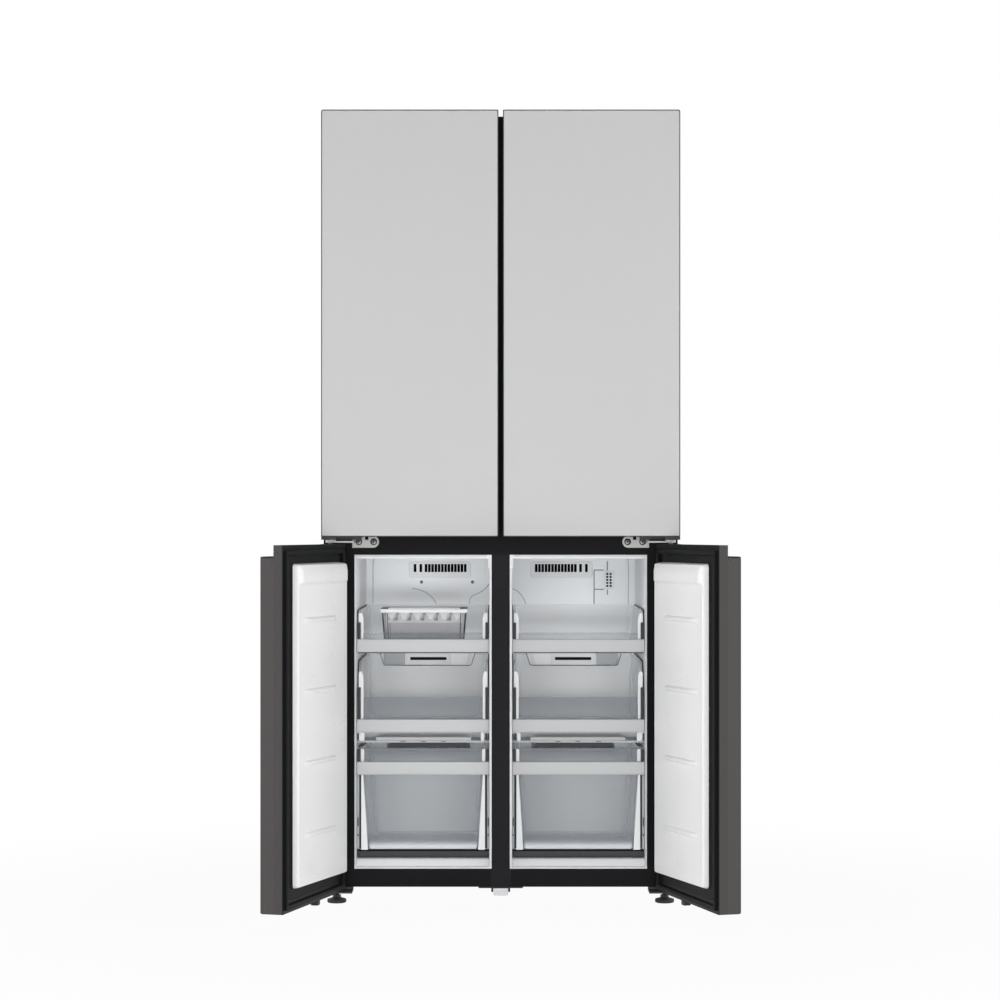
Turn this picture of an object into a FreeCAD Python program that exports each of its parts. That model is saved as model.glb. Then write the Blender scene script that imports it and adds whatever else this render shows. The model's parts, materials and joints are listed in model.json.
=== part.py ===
import FreeCAD, Part
import math
import os
import re

import Sketcher

Vector = FreeCAD.Vector

# A free-standing four-door refrigerator, in millimetres. X runs to the right, Y rearwards and Z up.
# The origin is on the floor, on the centre plane, under the outer face of the closed doors.
# Its rest pose has both upper doors shut and both lower doors swung open.

# Driving sizes. Each one is a cell of the sheet, under the same name.
SIZES = {
    # cabinet across
    "total_width": 835,
    "door_gap": 10.6,
    "case_step": 2,
    "mullion": 47,
    "side_wall": 72.5,
    # cabinet upwards, from the floor
    "floor_gap": 42,
    "bottom_rail": 43,
    "lower_opening": 736,
    "cross_beam": 74,
    "upper_opening": 917,
    "top_rail": 38,
    # cabinet rearwards
    "overall_depth": 730,
    "frame_depth": 14,
    "rear_wall": 86,
    "rear_sheet": 1,
    "case_sheet": 1,
    "base_sheet": 2,
    "liner_wall": 2.5,
    "liner_setback": 1,
    # doors
    "door_depth": 53,
    "door_drop": 4,
    "door_rise": 7,
    "seam_rise": 31,
    "seam_gap": 10,
    "panel_thick": 4,
    "panel_edge": 2,
    "panel_round": 0.8,
    "door_wall": 3,
    "grip_depth": 31,
    "grip_dip": 12,
    "lower_grip_step": 27,
    "upper_grip_step": 9,
    "lower_door_open_deg": 106,
    # door seals and inner liners
    "gasket_thick": 8,
    "gasket_width": 10,
    "gasket_inset": 8,
    "gasket_hinge_inset": 24,
    "gasket_seam_inset": 12,
    "dish_rise": 30,
    "dish_slope": 10,
    "dish_wall": 2.5,
    "dish_free_margin": 45,
    "dish_hinge_margin": 80,
    "dish_seam_margin": 44,
    "dish_end_margin": 51,
    # hinges
    "hinge_inset": 21,
    "hinge_setback": 24,
    "hinge_play": 1,
    "pin_radius": 5,
    "pin_reach": 22,
    "pin_clearance": 0.3,
    "arm_thick": 4,
    "arm_half": 12,
    "arm_clearance": 2,
    "plate_sheet": 3,
    "plate_half": 14,
    "plate_nose_reach": 97,
    "plate_end_reach": 48.5,
    "arm_stem_reach": 54.5,
    "top_plate_length": 90,
    "top_neck_half": 5.5,
    "cover_height": 15,
    "cover_wall": 2.5,
    "cover_length": 106,
    "cover_half": 19,
    "bracket_stem_reach": 50.5,
    "bottom_bracket_depth": 14,
    "screw_head_radius": 8,
    "screw_head": 2,
    "screw_radius": 2.5,
    "screw_length": 11,
    "screw_pitch": 35,
    "screw_inset": 12.5,
    # floor hardware
    "foot_inset": 28.5,
    "foot_setback": 39,
    "foot_radius": 22.5,
    "foot_disc": 9,
    "foot_collar_radius": 17,
    "foot_collar": 22,
    "stud_radius": 6,
    "stud_clearance": 0.3,
    "stud_short": 0.5,
    "roller_radius": 20,
    "roller_width": 20,
    "roller_inset": 75,
    "roller_setback": 80,
    "axle_radius": 4,
    "axle_clearance": 0.3,
    "ear_sheet": 3,
    "ear_half": 14,
    "ear_gap": 0.5,
    "stop_half": 52,
    "stop_sheet": 3,
    "stop_depth": 30,
    "stop_peg_radius": 2.3,
    "stop_peg_length": 10,
    "stop_peg_offset": 20,
    "stop_block_half": 17,
    "stop_block_height": 17,
    # machine space at the rear foot
    "machine_depth": 210,
    "machine_height": 228,
    "hump_depth": 50,
    "hump_rise": 52,
    "compressor_inset": 225.5,
    "compressor_radius": 72,
    "compressor_barrel": 80,
    "compressor_dome": 42,
    "compressor_foot": 12,
    "compressor_sole": 4,
    "compressor_foot_radius": 11,
    "coil_fin": 2,
    "coil_pitch": 12,
    "coil_tube_radius": 5,
    "condenser_inset": 85.5,
    "condenser_length": 230,
    "condenser_height": 170,
    "condenser_thick": 110,
    "evaporator_length": 236,
    "evaporator_height": 220,
    "evaporator_thick": 48,
    "evaporator_rise": 48,
    "shroud_gap": 60,
    "shroud_sheet": 4,
    "shroud_margin": 24,
    "fan_gap": 5,
    "fan_hub_radius": 20,
    "fan_hub_length": 22,
    "fan_blade_sheet": 2.5,
    "fan_blade_chord": 20,
    "shaft_radius": 3,
    "shaft_clearance": 0.3,
    "motor_radius": 24,
    "motor_length": 30,
    "condenser_fan_radius": 78,
    "evaporator_fan_radius": 52,
    "evaporator_fan_drop": 128,
    "grille_margin": 30,
    "grille_slot": 6,
    "grille_pitch": 26,
    "inlet_radius": 16,
    "inlet_length": 10,
    "inlet_bore": 9,
    "inlet_offset": 60,
    # covers on the rear wall of the lower compartments
    "cooling_space": 70.5,
    "cover_sheet": 4,
    "vent_inner": 66,
    "vent_pitch": 9.5,
    "vent_slot": 3.4,
    "vent_height": 20,
    "vent_drop": 29,
    "return_height": 14,
    "return_margin": 52,
    "duct_drop": 236,
    "duct_height": 50,
    "duct_rise": 14,
    "duct_margin": 48,
    "duct_slot": 7,
    "duct_slot_length": 92,
    # lower drawers, upwards from the lower sill
    "drawer_setback": 27,
    "strip_gap": 1,
    "strip_depth": 12,
    "strip_height": 31,
    "strip_chamfer": 5,
    "bottom_strip_rise": 217,
    "middle_strip_pitch": 100,
    "top_strip_pitch": 189,
    "bin_wall": 2.5,
    "bin_gap": 5,
    "bin_floor_rise": 4,
    "bin_draft": 4,
    "bin_front_cut": 26,
    "tray_back_gap": 22,
    "bottom_back_gap": 14,
    "top_front_rise": 15,
    "top_wall_rise": 80,
    "middle_front_rise": 52,
    "drawer_clearance": 4,
    "bottom_wall_rise": 31,
    "bottom_bin_rise": 39,
    "bottom_bin_gap": 12,
    "bottom_bin_draft": 17,
    "rim_thick": 6,
    "rim_clearance": 1.5,
    "runner_width": 15,
    "runner_thick": 6,
    "runner_setback": 45,
    # ice maker in the left top drawer
    "ice_inner_gap": 49,
    "ice_outer_gap": 47.5,
    "ice_front": 95,
    "ice_depth": 130,
    "ice_height": 84,
    "ice_wall": 2,
    "ice_draft": 9,
    "ice_rim": 5,
    "ice_cell_depth": 26,
    "ice_cell_wall": 2,
    "ice_cell_draft": 5,
    "ice_cell_margin": 12,
    # upper compartments
    "shelf_setback": 135,
    "shelf_back_gap": 40,
    "shelf_glass": 4,
    "shelf_gap": 1,
    "first_shelf_rise": 168,
    "shelf_pitch": 250,
    "ledge_width": 9,
    "ledge_thick": 7,
    "crisper_gap": 6,
    "crisper_height": 148,
    "crisper_wall": 3,
    "crisper_draft": 6,
    "door_bin_free_gap": 42.5,
    "door_bin_hinge_gap": 13,
    "door_bin_depth": 92,
    "door_bin_height": 92,
    "door_bin_wall": 3,
    "door_bin_draft": 8,
    "first_bin_rise": 70,
    "bin_pitch": 285,
}

# Places and sizes that follow from the driving sizes.
PLACES = {
    "door_outer": "total_width / 2",
    "half_case": "door_outer - case_step",
    "door_inner": "door_gap / 2",
    "hinge_x": "door_outer - hinge_inset",
    "hinge_y": "hinge_setback",
    "plate_inner": "hinge_x - plate_nose_reach",
    "plate_outer": "hinge_x - plate_end_reach",
    "arm_inner": "hinge_x - arm_stem_reach",
    "bottom_bracket_inner": "hinge_x - bracket_stem_reach",
    "open_inner": "mullion / 2",
    "open_outer": "half_case - side_wall",
    "room_inner": "open_inner + liner_wall",
    "room_outer": "open_outer - liner_wall",
    "case_front": "door_depth + gasket_thick",
    "frame_back": "case_front + frame_depth",
    "liner_front": "case_front + liner_setback",
    "liner_back": "overall_depth - rear_wall",
    "room_back": "liner_back - liner_wall",
    "rear_inside": "overall_depth - rear_sheet",
    "lower_sill": "floor_gap + bottom_rail",
    "lower_head": "lower_sill + lower_opening",
    "upper_sill": "lower_head + cross_beam",
    "upper_head": "upper_sill + upper_opening",
    "case_top": "upper_head + top_rail",
    "base_top": "floor_gap + base_sheet",
    "seam": "lower_head + seam_rise",
    "lower_frame_top": "seam - seam_gap / 2",
    "upper_frame_foot": "seam + seam_gap / 2",
    "lower_panel_top": "lower_frame_top - lower_grip_step",
    "upper_panel_foot": "upper_frame_foot + upper_grip_step",
    "lower_foot": "floor_gap - door_drop",
    "door_top": "case_top + door_rise",
    "recess_floor": "case_top - hinge_play",
    "arm_foot": "seam - arm_thick / 2",
    "arm_top": "seam + arm_thick / 2",
    "bottom_arm_top": "lower_foot - hinge_play",
    "machine_front": "overall_depth - machine_depth",
    "machine_top": "floor_gap + machine_height",
    "hump_front": "machine_front - hump_depth",
    "hump_top": "machine_top + hump_rise",
    "room_hump_front": "hump_front - liner_wall",
    "room_hump_top": "hump_top + liner_wall",
    "lower_ceiling": "lower_head - liner_wall",
    "upper_floor": "upper_sill + liner_wall",
    "cover_front": "room_back - cooling_space",
    "cover_back": "cover_front + cover_sheet",
    "drawer_front": "case_front + drawer_setback",
    "strip_inner": "room_inner + strip_gap",
    "strip_outer": "room_outer - strip_gap",
    "bin_front": "drawer_front + strip_depth",
    "bin_inner": "room_inner + bin_gap",
    "bin_outer": "room_outer - bin_gap",
    "tray_back": "cover_front - tray_back_gap",
    "bottom_back": "room_hump_front - bottom_back_gap",
    "bottom_strip": "lower_sill + bottom_strip_rise",
    "middle_strip": "bottom_strip + middle_strip_pitch",
    "top_strip": "middle_strip + top_strip_pitch",
    "top_bin_floor": "top_strip + bin_floor_rise",
    "middle_bin_floor": "middle_strip + bin_floor_rise",
    "bottom_bin_floor": "lower_sill + bottom_bin_rise",
    "top_front": "top_strip + strip_height + top_front_rise",
    "top_wall": "top_strip + strip_height + top_wall_rise",
    "middle_front": "middle_strip + strip_height + middle_front_rise",
    "middle_wall": "top_bin_floor - runner_thick - drawer_clearance",
    "bottom_wall": "bottom_strip + strip_height + bottom_wall_rise",
    "bottom_bin_wall": "bin_wall",
    "ice_inner": "bin_inner + ice_inner_gap",
    "ice_outer": "bin_outer - ice_outer_gap",
    "ice_length": "ice_outer - (ice_inner)",
    "ice_near": "bin_front + ice_front",
    "ice_far": "ice_near + ice_depth",
    "ice_floor": "top_bin_floor + bin_wall",
    "ice_top": "ice_floor + ice_height",
    "shelf_front": "case_front + shelf_setback",
    "shelf_back": "room_back - shelf_back_gap",
    "dish_back": "door_depth + dish_rise",
    "door_bin_inner": "open_inner + door_bin_free_gap",
    "door_bin_outer": "open_outer - door_bin_hinge_gap",
    "door_bin_back": "dish_back + door_bin_depth",
    "foot_x": "half_case - foot_inset",
    "foot_y": "case_front + foot_setback",
    "roller_x": "half_case - roller_inset",
    "roller_y": "overall_depth - roller_setback",
    "machine_y": "overall_depth - machine_depth / 2",
    "machine_z": "base_top + (machine_height - base_sheet) / 2",
    "evaporator_fan_x": "(room_inner + room_outer) / 2",
    "evaporator_fan_z": "lower_head - evaporator_fan_drop",
    "compressor_x": "half_case - compressor_inset",
    "condenser_x": "condenser_inset - half_case",
    "shroud_x": "condenser_x + condenser_length + shroud_gap",
    "compressor_sole_foot": "base_top + compressor_foot",
    "compressor_barrel_foot": "compressor_sole_foot + compressor_sole + compressor_dome",
}

# Counts of repeated features.
VENT_SLOTS = 15
GRILLE_SLOTS = 7
FAN_BLADES = 7
ICE_CELLS = 6
SHELVES = 3
DOOR_BINS = 3
EVAPORATOR_TUBES = 4
CONDENSER_TUBES = 3

# Each fan blade's angle to the plane of its shaft, in degrees.
FAN_PITCH = 35

# A cut has to leave less than this share of a body.
LEAST_CUT = 0.999999

# An edge lies in a face if it leaves it by less than this share of its length.
FLAT_SHARE = 0.001

SIDES = {"left": -1, "right": 1}

doc = FreeCAD.newDocument("four_door_refrigerator")
sheet = doc.addObject("Spreadsheet::Sheet", "Sizes")
nodes = []


def fill_sheet():
    """Put each driving size in a cell of the sheet, with its name beside it."""
    for row, (name, value) in enumerate(SIZES.items(), start=1):
        sheet.set(f"A{row}", name)
        sheet.set(f"B{row}", str(value))
        sheet.setAlias(f"B{row}", name)
    doc.recompute()


def formula(text):
    """Write out the derived places, and point each driving size at its cell."""

    def swap(match):
        word = match.group(0)
        if word in PLACES:
            return f"({formula(PLACES[word])})"
        if word in SIZES:
            return f"Sizes.{word}"
        return word

    return re.sub(r"[A-Za-z_]\w*", swap, text)


def bind(thing, prop, text):
    thing.setExpression(prop, formula(text))


def span(side, inner, outer):
    """The low and high X of a stretch given by its distances from the centre plane."""
    if side > 0:
        return (inner, outer)
    return (f"-({outer})", f"-({inner})")


# Primitives and booleans


def block(name, across, along, up):
    box = doc.addObject("Part::Box", name)
    edges = zip(("Length", "Width", "Height"), "xyz", (across, along, up))
    for size, axis, (low, high) in edges:
        bind(box, size, f"({high}) - ({low})")
        bind(box, f"Placement.Base.{axis}", low)
    return box


TURNS = {
    "x": FreeCAD.Rotation(Vector(0, 1, 0), 90),
    "y": FreeCAD.Rotation(Vector(1, 0, 0), -90),
    "z": FreeCAD.Rotation(),
}


def rod(name, axis, start, radius, length):
    """A round bar from the start point along +X, +Y or +Z."""
    bar = doc.addObject("Part::Cylinder", name)
    bar.Placement = FreeCAD.Placement(Vector(), TURNS[axis])
    bind(bar, "Radius", radius)
    bind(bar, "Height", length)
    for letter, place in zip("xyz", start):
        bind(bar, f"Placement.Base.{letter}", place)
    return bar


def upright_taper(name, foot, head, up):
    """A block whose foot and head are different X and Y rectangles, both given as low and high pairs."""
    wedge = doc.addObject("Part::Wedge", name)
    wedge.Placement = FreeCAD.Placement(Vector(), FreeCAD.Rotation(Vector(1, 0, 0), 90))
    low, high = up
    for tag, (across, along) in (("", foot), ("2", head)):
        bind(wedge, f"X{tag}min", across[0])
        bind(wedge, f"X{tag}max", across[1])
        bind(wedge, f"Z{tag}min", f"-({along[1]})")
        bind(wedge, f"Z{tag}max", f"-({along[0]})")
    bind(wedge, "Ymin", low)
    bind(wedge, "Ymax", high)
    return wedge


def rearward_taper(name, near, far, along):
    """A block whose near and far ends are different X and Z rectangles, both given as low and high pairs."""
    wedge = doc.addObject("Part::Wedge", name)
    for tag, (across, up) in (("", near), ("2", far)):
        bind(wedge, f"X{tag}min", across[0])
        bind(wedge, f"X{tag}max", across[1])
        bind(wedge, f"Z{tag}min", up[0])
        bind(wedge, f"Z{tag}max", up[1])
    bind(wedge, "Ymin", along[0])
    bind(wedge, "Ymax", along[1])
    return wedge


def inset(pair, amount):
    low, high = pair
    return (f"({low}) + {amount}", f"({high}) - ({amount})")


def join(name, shapes):
    union = doc.addObject("Part::MultiFuse", name)
    union.Shapes = shapes
    return union


def cut(name, base, tools):
    result = doc.addObject("Part::Cut", name)
    result.Base = base
    result.Tool = tools[0] if len(tools) == 1 else join(f"{name}_tools", tools)
    return result


def gather(name, shapes):
    """Several separate solids as one sub-part."""
    bundle = doc.addObject("Part::Compound", name)
    bundle.Links = shapes
    return bundle


def mirrored(name, source):
    """The same piece on the other side of the centre plane."""
    twin = doc.addObject("Part::Mirroring", name)
    twin.Source = source
    twin.Normal = Vector(1, 0, 0)
    return twin


def node(thing, label):
    thing.Label = label
    nodes.append(thing)
    return thing


# Sketched bodies


def sketch_on(body, role, name, offset):
    plane = next(item for item in body.Origin.OriginFeatures if item.Role == role)
    sketch = body.newObject("Sketcher::SketchObject", name)
    sketch.AttachmentSupport = [(plane, "")]
    sketch.MapMode = "FlatFace"
    bind(sketch, "AttachmentOffset.Base.z", offset)
    return sketch


def place_point(sketch, geometry, which, point):
    for kind, text in zip(("DistanceX", "DistanceY"), point):
        number = sketch.addConstraint(Sketcher.Constraint(kind, -1, 1, geometry, which, 1.0))
        bind(sketch, f"Constraints[{number}]", text)


def polygon(sketch, corners):
    """A closed outline with each corner held by its distances from the sketch's origin."""
    first = sketch.GeometryCount
    count = len(corners)
    ring = []
    for index in range(count + 1):
        turn = 2 * math.pi * index / count
        ring.append(Vector(math.cos(turn), math.sin(turn), 0))
    for index in range(count):
        sketch.addGeometry(Part.LineSegment(ring[index], ring[index + 1]))
    for index in range(count):
        following = first + (index + 1) % count
        sketch.addConstraint(Sketcher.Constraint("Coincident", first + index, 2, following, 1))
    for index, corner in enumerate(corners):
        place_point(sketch, first + index, 1, corner)


def rectangle(sketch, across, up):
    low_x, high_x = across
    low_z, high_z = up
    polygon(sketch, [(low_x, low_z), (high_x, low_z), (high_x, high_z), (low_x, high_z)])


def circle(sketch, centre, radius):
    number = sketch.addGeometry(Part.Circle(Vector(), Vector(0, 0, 1), 1))
    place_point(sketch, number, 3, centre)
    size = sketch.addConstraint(Sketcher.Constraint("Radius", number, 1.0))
    bind(sketch, f"Constraints[{size}]", radius)


def new_body(name):
    return doc.addObject("PartDesign::Body", name)


def pad(body, sketch, length, backwards=False):
    feature = body.newObject("PartDesign::Pad", f"{body.Name}_pad")
    feature.Profile = sketch
    feature.Reversed = backwards
    bind(feature, "Length", length)
    return feature


def pocket(body, sketch, length, backwards=False):
    """Cut a sketch into the body, and check that it took material away."""
    before = body.Tip
    doc.recompute()
    volume = before.Shape.Volume
    feature = body.newObject("PartDesign::Pocket", f"{body.Name}_pocket")
    feature.Profile = sketch
    feature.Reversed = backwards
    bind(feature, "Length", length)
    doc.recompute()
    if feature.Shape.Volume > volume * LEAST_CUT:
        raise RuntimeError(f"{feature.Name} cut nothing from {body.Name}")
    return feature


def row_of(body, feature, sketch, length, count):
    """Repeat a feature along its sketch's horizontal axis."""
    pattern = body.newObject("PartDesign::LinearPattern", f"{body.Name}_row")
    pattern.Originals = [feature]
    pattern.Direction = (sketch, ["H_Axis"])
    pattern.Occurrences = count
    bind(pattern, "Length", length)
    body.Tip = pattern
    doc.recompute()
    return pattern


def round_front(body, base, radius):
    """Round the edges of the face that looks forwards."""
    doc.recompute()
    front = base.Shape.BoundBox.YMin
    names = []
    for index, edge in enumerate(base.Shape.Edges, start=1):
        if edge.BoundBox.YMax - front < edge.Length * FLAT_SHARE:
            names.append(f"Edge{index}")
    feature = body.newObject("PartDesign::Fillet", f"{body.Name}_round")
    feature.Base = (base, names)
    bind(feature, "Radius", radius)
    return feature


# Cabinet


LOWER_UP = ("lower_sill", "lower_head")
UPPER_UP = ("upper_sill", "upper_head")


def outer_case():
    width = ("-half_case", "half_case")
    along = ("frame_back", "rear_inside")
    shell = block("case_block", width, along, ("floor_gap", "case_top"))
    inside = block("case_room", inset(width, "case_sheet"), along, ("floor_gap", "case_top - case_sheet"))
    node(cut("case_shell", shell, [inside]), "outer_case")


def rear_panel():
    panel = block(
        "rear_sheet_panel",
        ("-half_case", "half_case"),
        ("rear_inside", "overall_depth"),
        ("machine_top", "case_top"),
    )
    node(panel, "rear_panel")


def roller_carrier(side, name):
    """Two ears under the base pan with the axle of a rear roller between them."""
    middle = f"{side} * roller_x"
    half_gap = "(roller_width / 2 + ear_gap)"
    along = ("roller_y - ear_half", "roller_y + ear_half")
    up = ("roller_radius - ear_half", "floor_gap")
    inner_face = f"{middle} - {half_gap}"
    outer_face = f"{middle} + {half_gap}"
    inner = block(f"{name}_inner_ear", (f"{inner_face} - ear_sheet", inner_face), along, up)
    outer = block(f"{name}_outer_ear", (outer_face, f"{outer_face} + ear_sheet"), along, up)
    start = (f"{inner_face} - ear_sheet", "roller_y", "roller_radius")
    axle = rod(f"{name}_axle", "x", start, "axle_radius", f"2 * ({half_gap} + ear_sheet)")
    return [inner, outer, axle]


def base_pan():
    across = ("-half_case + case_sheet", "half_case - case_sheet")
    floor = block("base_floor", across, ("frame_back", "rear_inside"), ("floor_gap", "base_top"))
    riser = block(
        "base_riser", across, ("machine_front - base_sheet", "machine_front"), ("floor_gap", "machine_top")
    )
    roof = block(
        "base_roof",
        across,
        ("machine_front - base_sheet", "rear_inside"),
        ("machine_top - base_sheet", "machine_top"),
    )
    pieces = [floor, riser, roof]
    holes = []
    for name, side in SIDES.items():
        pieces += roller_carrier(side, f"{name}_roller")
        start = (f"{side} * foot_x", "foot_y", "floor_gap")
        holes.append(rod(f"{name}_stud_hole", "z", start, "stud_radius + stud_clearance", "base_sheet"))
    node(cut("base_body", join("base_sheets", pieces), holes), "base_pan")


def front_frame():
    body = new_body("frame_body")
    outline = sketch_on(body, "XZ_Plane", "frame_outline", "-(case_front)")
    rectangle(outline, ("-half_case", "half_case"), ("floor_gap", "case_top"))
    for side in SIDES.values():
        for up in (LOWER_UP, UPPER_UP):
            rectangle(outline, span(side, "open_inner", "open_outer"), up)
        for place in screw_places(side):
            circle(outline, (place, "seam"), "screw_radius + pin_clearance")
    pad(body, outline, "frame_depth", backwards=True)
    node(body, "front_frame")


def liner_solids(name, side, up):
    """The outer block of one compartment's liner and the room inside it."""
    across = span(side, "open_inner", "open_outer")
    outer = block(f"{name}_outer", across, ("liner_front", "liner_back"), up)
    along = ("liner_front", "room_back")
    room = block(f"{name}_room", inset(across, "liner_wall"), along, inset(up, "liner_wall"))
    return outer, room


def lower_liner_solids(name, side):
    """A lower compartment, stepped over the machine space."""
    outer, room = liner_solids(name, side, LOWER_UP)
    across = span(side, "open_inner", "open_outer")
    hump = block(f"{name}_hump", across, ("hump_front", "liner_back"), ("lower_sill", "hump_top"))
    inner_hump = block(
        f"{name}_inner_hump", across, ("room_hump_front", "liner_back"), ("lower_sill", "room_hump_top")
    )
    return cut(f"{name}_stepped", outer, [hump]), cut(f"{name}_stepped_room", room, [inner_hump])


def shelf_level(index):
    return f"upper_sill + first_shelf_rise + {index} * shelf_pitch"


def shelf_ledges(name, side):
    """Ribs on the side walls that carry the glass shelves."""
    ledges = []
    along = ("shelf_front", "shelf_back")
    for index in range(SHELVES):
        up = (f"{shelf_level(index)} - ledge_thick", shelf_level(index))
        near_wall = span(side, "open_inner", "room_inner + ledge_width")
        far_wall = span(side, "room_outer - ledge_width", "open_outer")
        ledges.append(block(f"{name}_inner_ledge_{index}", near_wall, along, up))
        ledges.append(block(f"{name}_outer_ledge_{index}", far_wall, along, up))
    return ledges


def liners_and_foam():
    """Four moulded compartments, and the insulation that fills the case around them."""
    lower = []
    upper = []
    hollows = []
    for name, side in SIDES.items():
        outer, room = lower_liner_solids(f"{name}_lower_liner", side)
        lower.append(cut(f"{name}_lower_shell", outer, [room]))
        hollows.append(outer)
        outer, room = liner_solids(f"{name}_upper_liner", side, UPPER_UP)
        shell = cut(f"{name}_upper_shell", outer, [room])
        upper.append(join(f"{name}_upper_ribbed", [shell] + shelf_ledges(name, side)))
        hollows.append(outer)
    node(gather("lower_shells", lower), "lower_liners")
    node(gather("upper_shells", upper), "upper_liners")
    across = ("-half_case + case_sheet", "half_case - case_sheet")
    fill = block("foam_block", across, ("frame_back", "rear_inside"), ("base_top", "case_top - case_sheet"))
    machine_along = ("machine_front - base_sheet", "rear_inside")
    machine = block("foam_machine_room", across, machine_along, ("base_top", "machine_top"))
    node(cut("foam_fill", fill, hollows + [machine]), "insulation_foam")


def rear_cover_body():
    """The right compartment's rear-wall cover, with its air vents, duct housing and return slot."""
    body = new_body("cover_body")
    outline = sketch_on(body, "XZ_Plane", "cover_outline", "-(cover_front)")
    rectangle(outline, ("room_inner", "room_outer"), ("room_hump_top", "lower_ceiling"))
    pad(body, outline, "cover_sheet", backwards=True)
    housing = sketch_on(body, "XZ_Plane", "duct_outline", "-(cover_front)")
    top = "lower_head - duct_drop"
    foot = f"{top} - duct_height"
    left = "room_inner + duct_margin"
    right = "room_outer - duct_margin"
    corners = [(f"{left} + duct_rise", foot), (f"{right} - duct_rise", foot), (right, top), (left, top)]
    polygon(housing, corners)
    pad(body, housing, "duct_rise")
    mouth = sketch_on(body, "XZ_Plane", "duct_mouth", "-(cover_front - duct_rise)")
    middle = "(room_inner + room_outer) / 2"
    width = (f"{middle} - duct_slot_length / 2", f"{middle} + duct_slot_length / 2")
    rectangle(mouth, width, (f"{foot} + duct_rise", f"{foot} + duct_rise + duct_slot"))
    pocket(body, mouth, "duct_rise / 2")
    slot = sketch_on(body, "XZ_Plane", "vent_slot_outline", "-(cover_front)")
    rectangle(slot, ("room_inner + vent_inner", "room_inner + vent_inner + vent_slot"),
              ("lower_head - vent_drop - vent_height", "lower_head - vent_drop"))
    first = pocket(body, slot, "cover_sheet")
    row_of(body, first, slot, f"vent_pitch * {VENT_SLOTS - 1}", VENT_SLOTS)
    intake = sketch_on(body, "XZ_Plane", "return_outline", "-(cover_front)")
    rectangle(intake, ("room_inner + return_margin", "room_outer - return_margin"),
              ("room_hump_top", "room_hump_top + return_height"))
    pocket(body, intake, "cover_sheet")
    return body


def rear_covers():
    """Both covers; the left one carries the evaporator fan's motor on its back."""
    right = rear_cover_body()
    left = mirrored("left_cover", right)
    centre = ("-(evaporator_fan_x)", "cover_back", "evaporator_fan_z")
    motor = rod("evaporator_motor", "y", centre, "motor_radius", "fan_gap")
    start = ("-(evaporator_fan_x)", "cover_back + fan_gap", "evaporator_fan_z")
    shaft = rod("evaporator_shaft", "y", start, "shaft_radius", "fan_hub_length + fan_gap")
    carrier = join("left_cover_with_motor", [left, motor, shaft])
    node(gather("rear_cover_pair", [carrier, right]), "rear_wall_covers")


# Cooling circuit


def finned_coil(name, across, along, up, tubes):
    """Fins across X with tubes through them."""
    fins = []
    low, length = across
    count = int(SIZES[length] / SIZES["coil_pitch"]) + 1
    pitch = f"({length} - coil_fin) / {count - 1}"
    for index in range(count):
        start = f"{low} + {index} * {pitch}"
        fins.append(block(f"{name}_fin_{index}", (start, f"{start} + coil_fin"), along, up))
    near, far = along
    bottom, top = up
    pipes = []
    for index in range(tubes):
        share = (index + 0.5) / tubes
        centre = (low, f"({near} + {far}) / 2", f"{bottom} + ({top} - ({bottom})) * {share}")
        pipes.append(rod(f"{name}_tube_{index}", "x", centre, "coil_tube_radius", length))
    return join(f"{name}_coil", fins + pipes)


def evaporator():
    low = "-(evaporator_fan_x) - evaporator_length / 2"
    foot = "room_hump_top + evaporator_rise"
    coil = finned_coil(
        "evaporator",
        (low, "evaporator_length"),
        ("room_back - evaporator_thick", "room_back"),
        (foot, f"{foot} + evaporator_height"),
        EVAPORATOR_TUBES,
    )
    node(coil, "evaporator")


def condenser():
    along = ("machine_y - condenser_thick / 2", "machine_y + condenser_thick / 2")
    up = ("base_top", "base_top + condenser_height")
    coil = finned_coil("condenser", ("condenser_x", "condenser_length"), along, up, CONDENSER_TUBES)
    node(coil, "condenser")


def dome(name, centre, height, radius):
    cap = doc.addObject("Part::Ellipsoid", name)
    bind(cap, "Radius1", height)
    bind(cap, "Radius2", radius)
    bind(cap, "Radius3", radius)
    for axis, place in zip("xyz", centre):
        bind(cap, f"Placement.Base.{axis}", place)
    return cap


def compressor():
    """A domed steel can on a sole plate with four feet."""
    foot = ("compressor_x", "machine_y", "compressor_barrel_foot")
    head = ("compressor_x", "machine_y", "compressor_barrel_foot + compressor_barrel")
    can = rod("compressor_can", "z", foot, "compressor_radius", "compressor_barrel")
    top = dome("compressor_top", head, "compressor_dome", "compressor_radius")
    bottom = dome("compressor_bottom", foot, "compressor_dome", "compressor_radius")
    reach = "compressor_radius + compressor_foot_radius"
    depth = "compressor_radius - compressor_foot_radius"
    sole = block(
        "compressor_sole_plate",
        (f"compressor_x - ({reach})", f"compressor_x + {reach}"),
        (f"machine_y - ({depth})", f"machine_y + {depth}"),
        ("compressor_sole_foot", "compressor_sole_foot + 2 * compressor_sole"),
    )
    pieces = [can, top, bottom, sole]
    for name, side in SIDES.items():
        for end in SIDES.values():
            x = f"compressor_x + {side} * compressor_radius"
            y = f"machine_y + {end} * ({depth} - compressor_foot_radius)"
            start = (x, y, "base_top")
            pieces.append(
                rod(f"compressor_{name}_foot", "z", start, "compressor_foot_radius", "compressor_foot")
            )
    node(join("compressor_body", pieces), "compressor")


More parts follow.
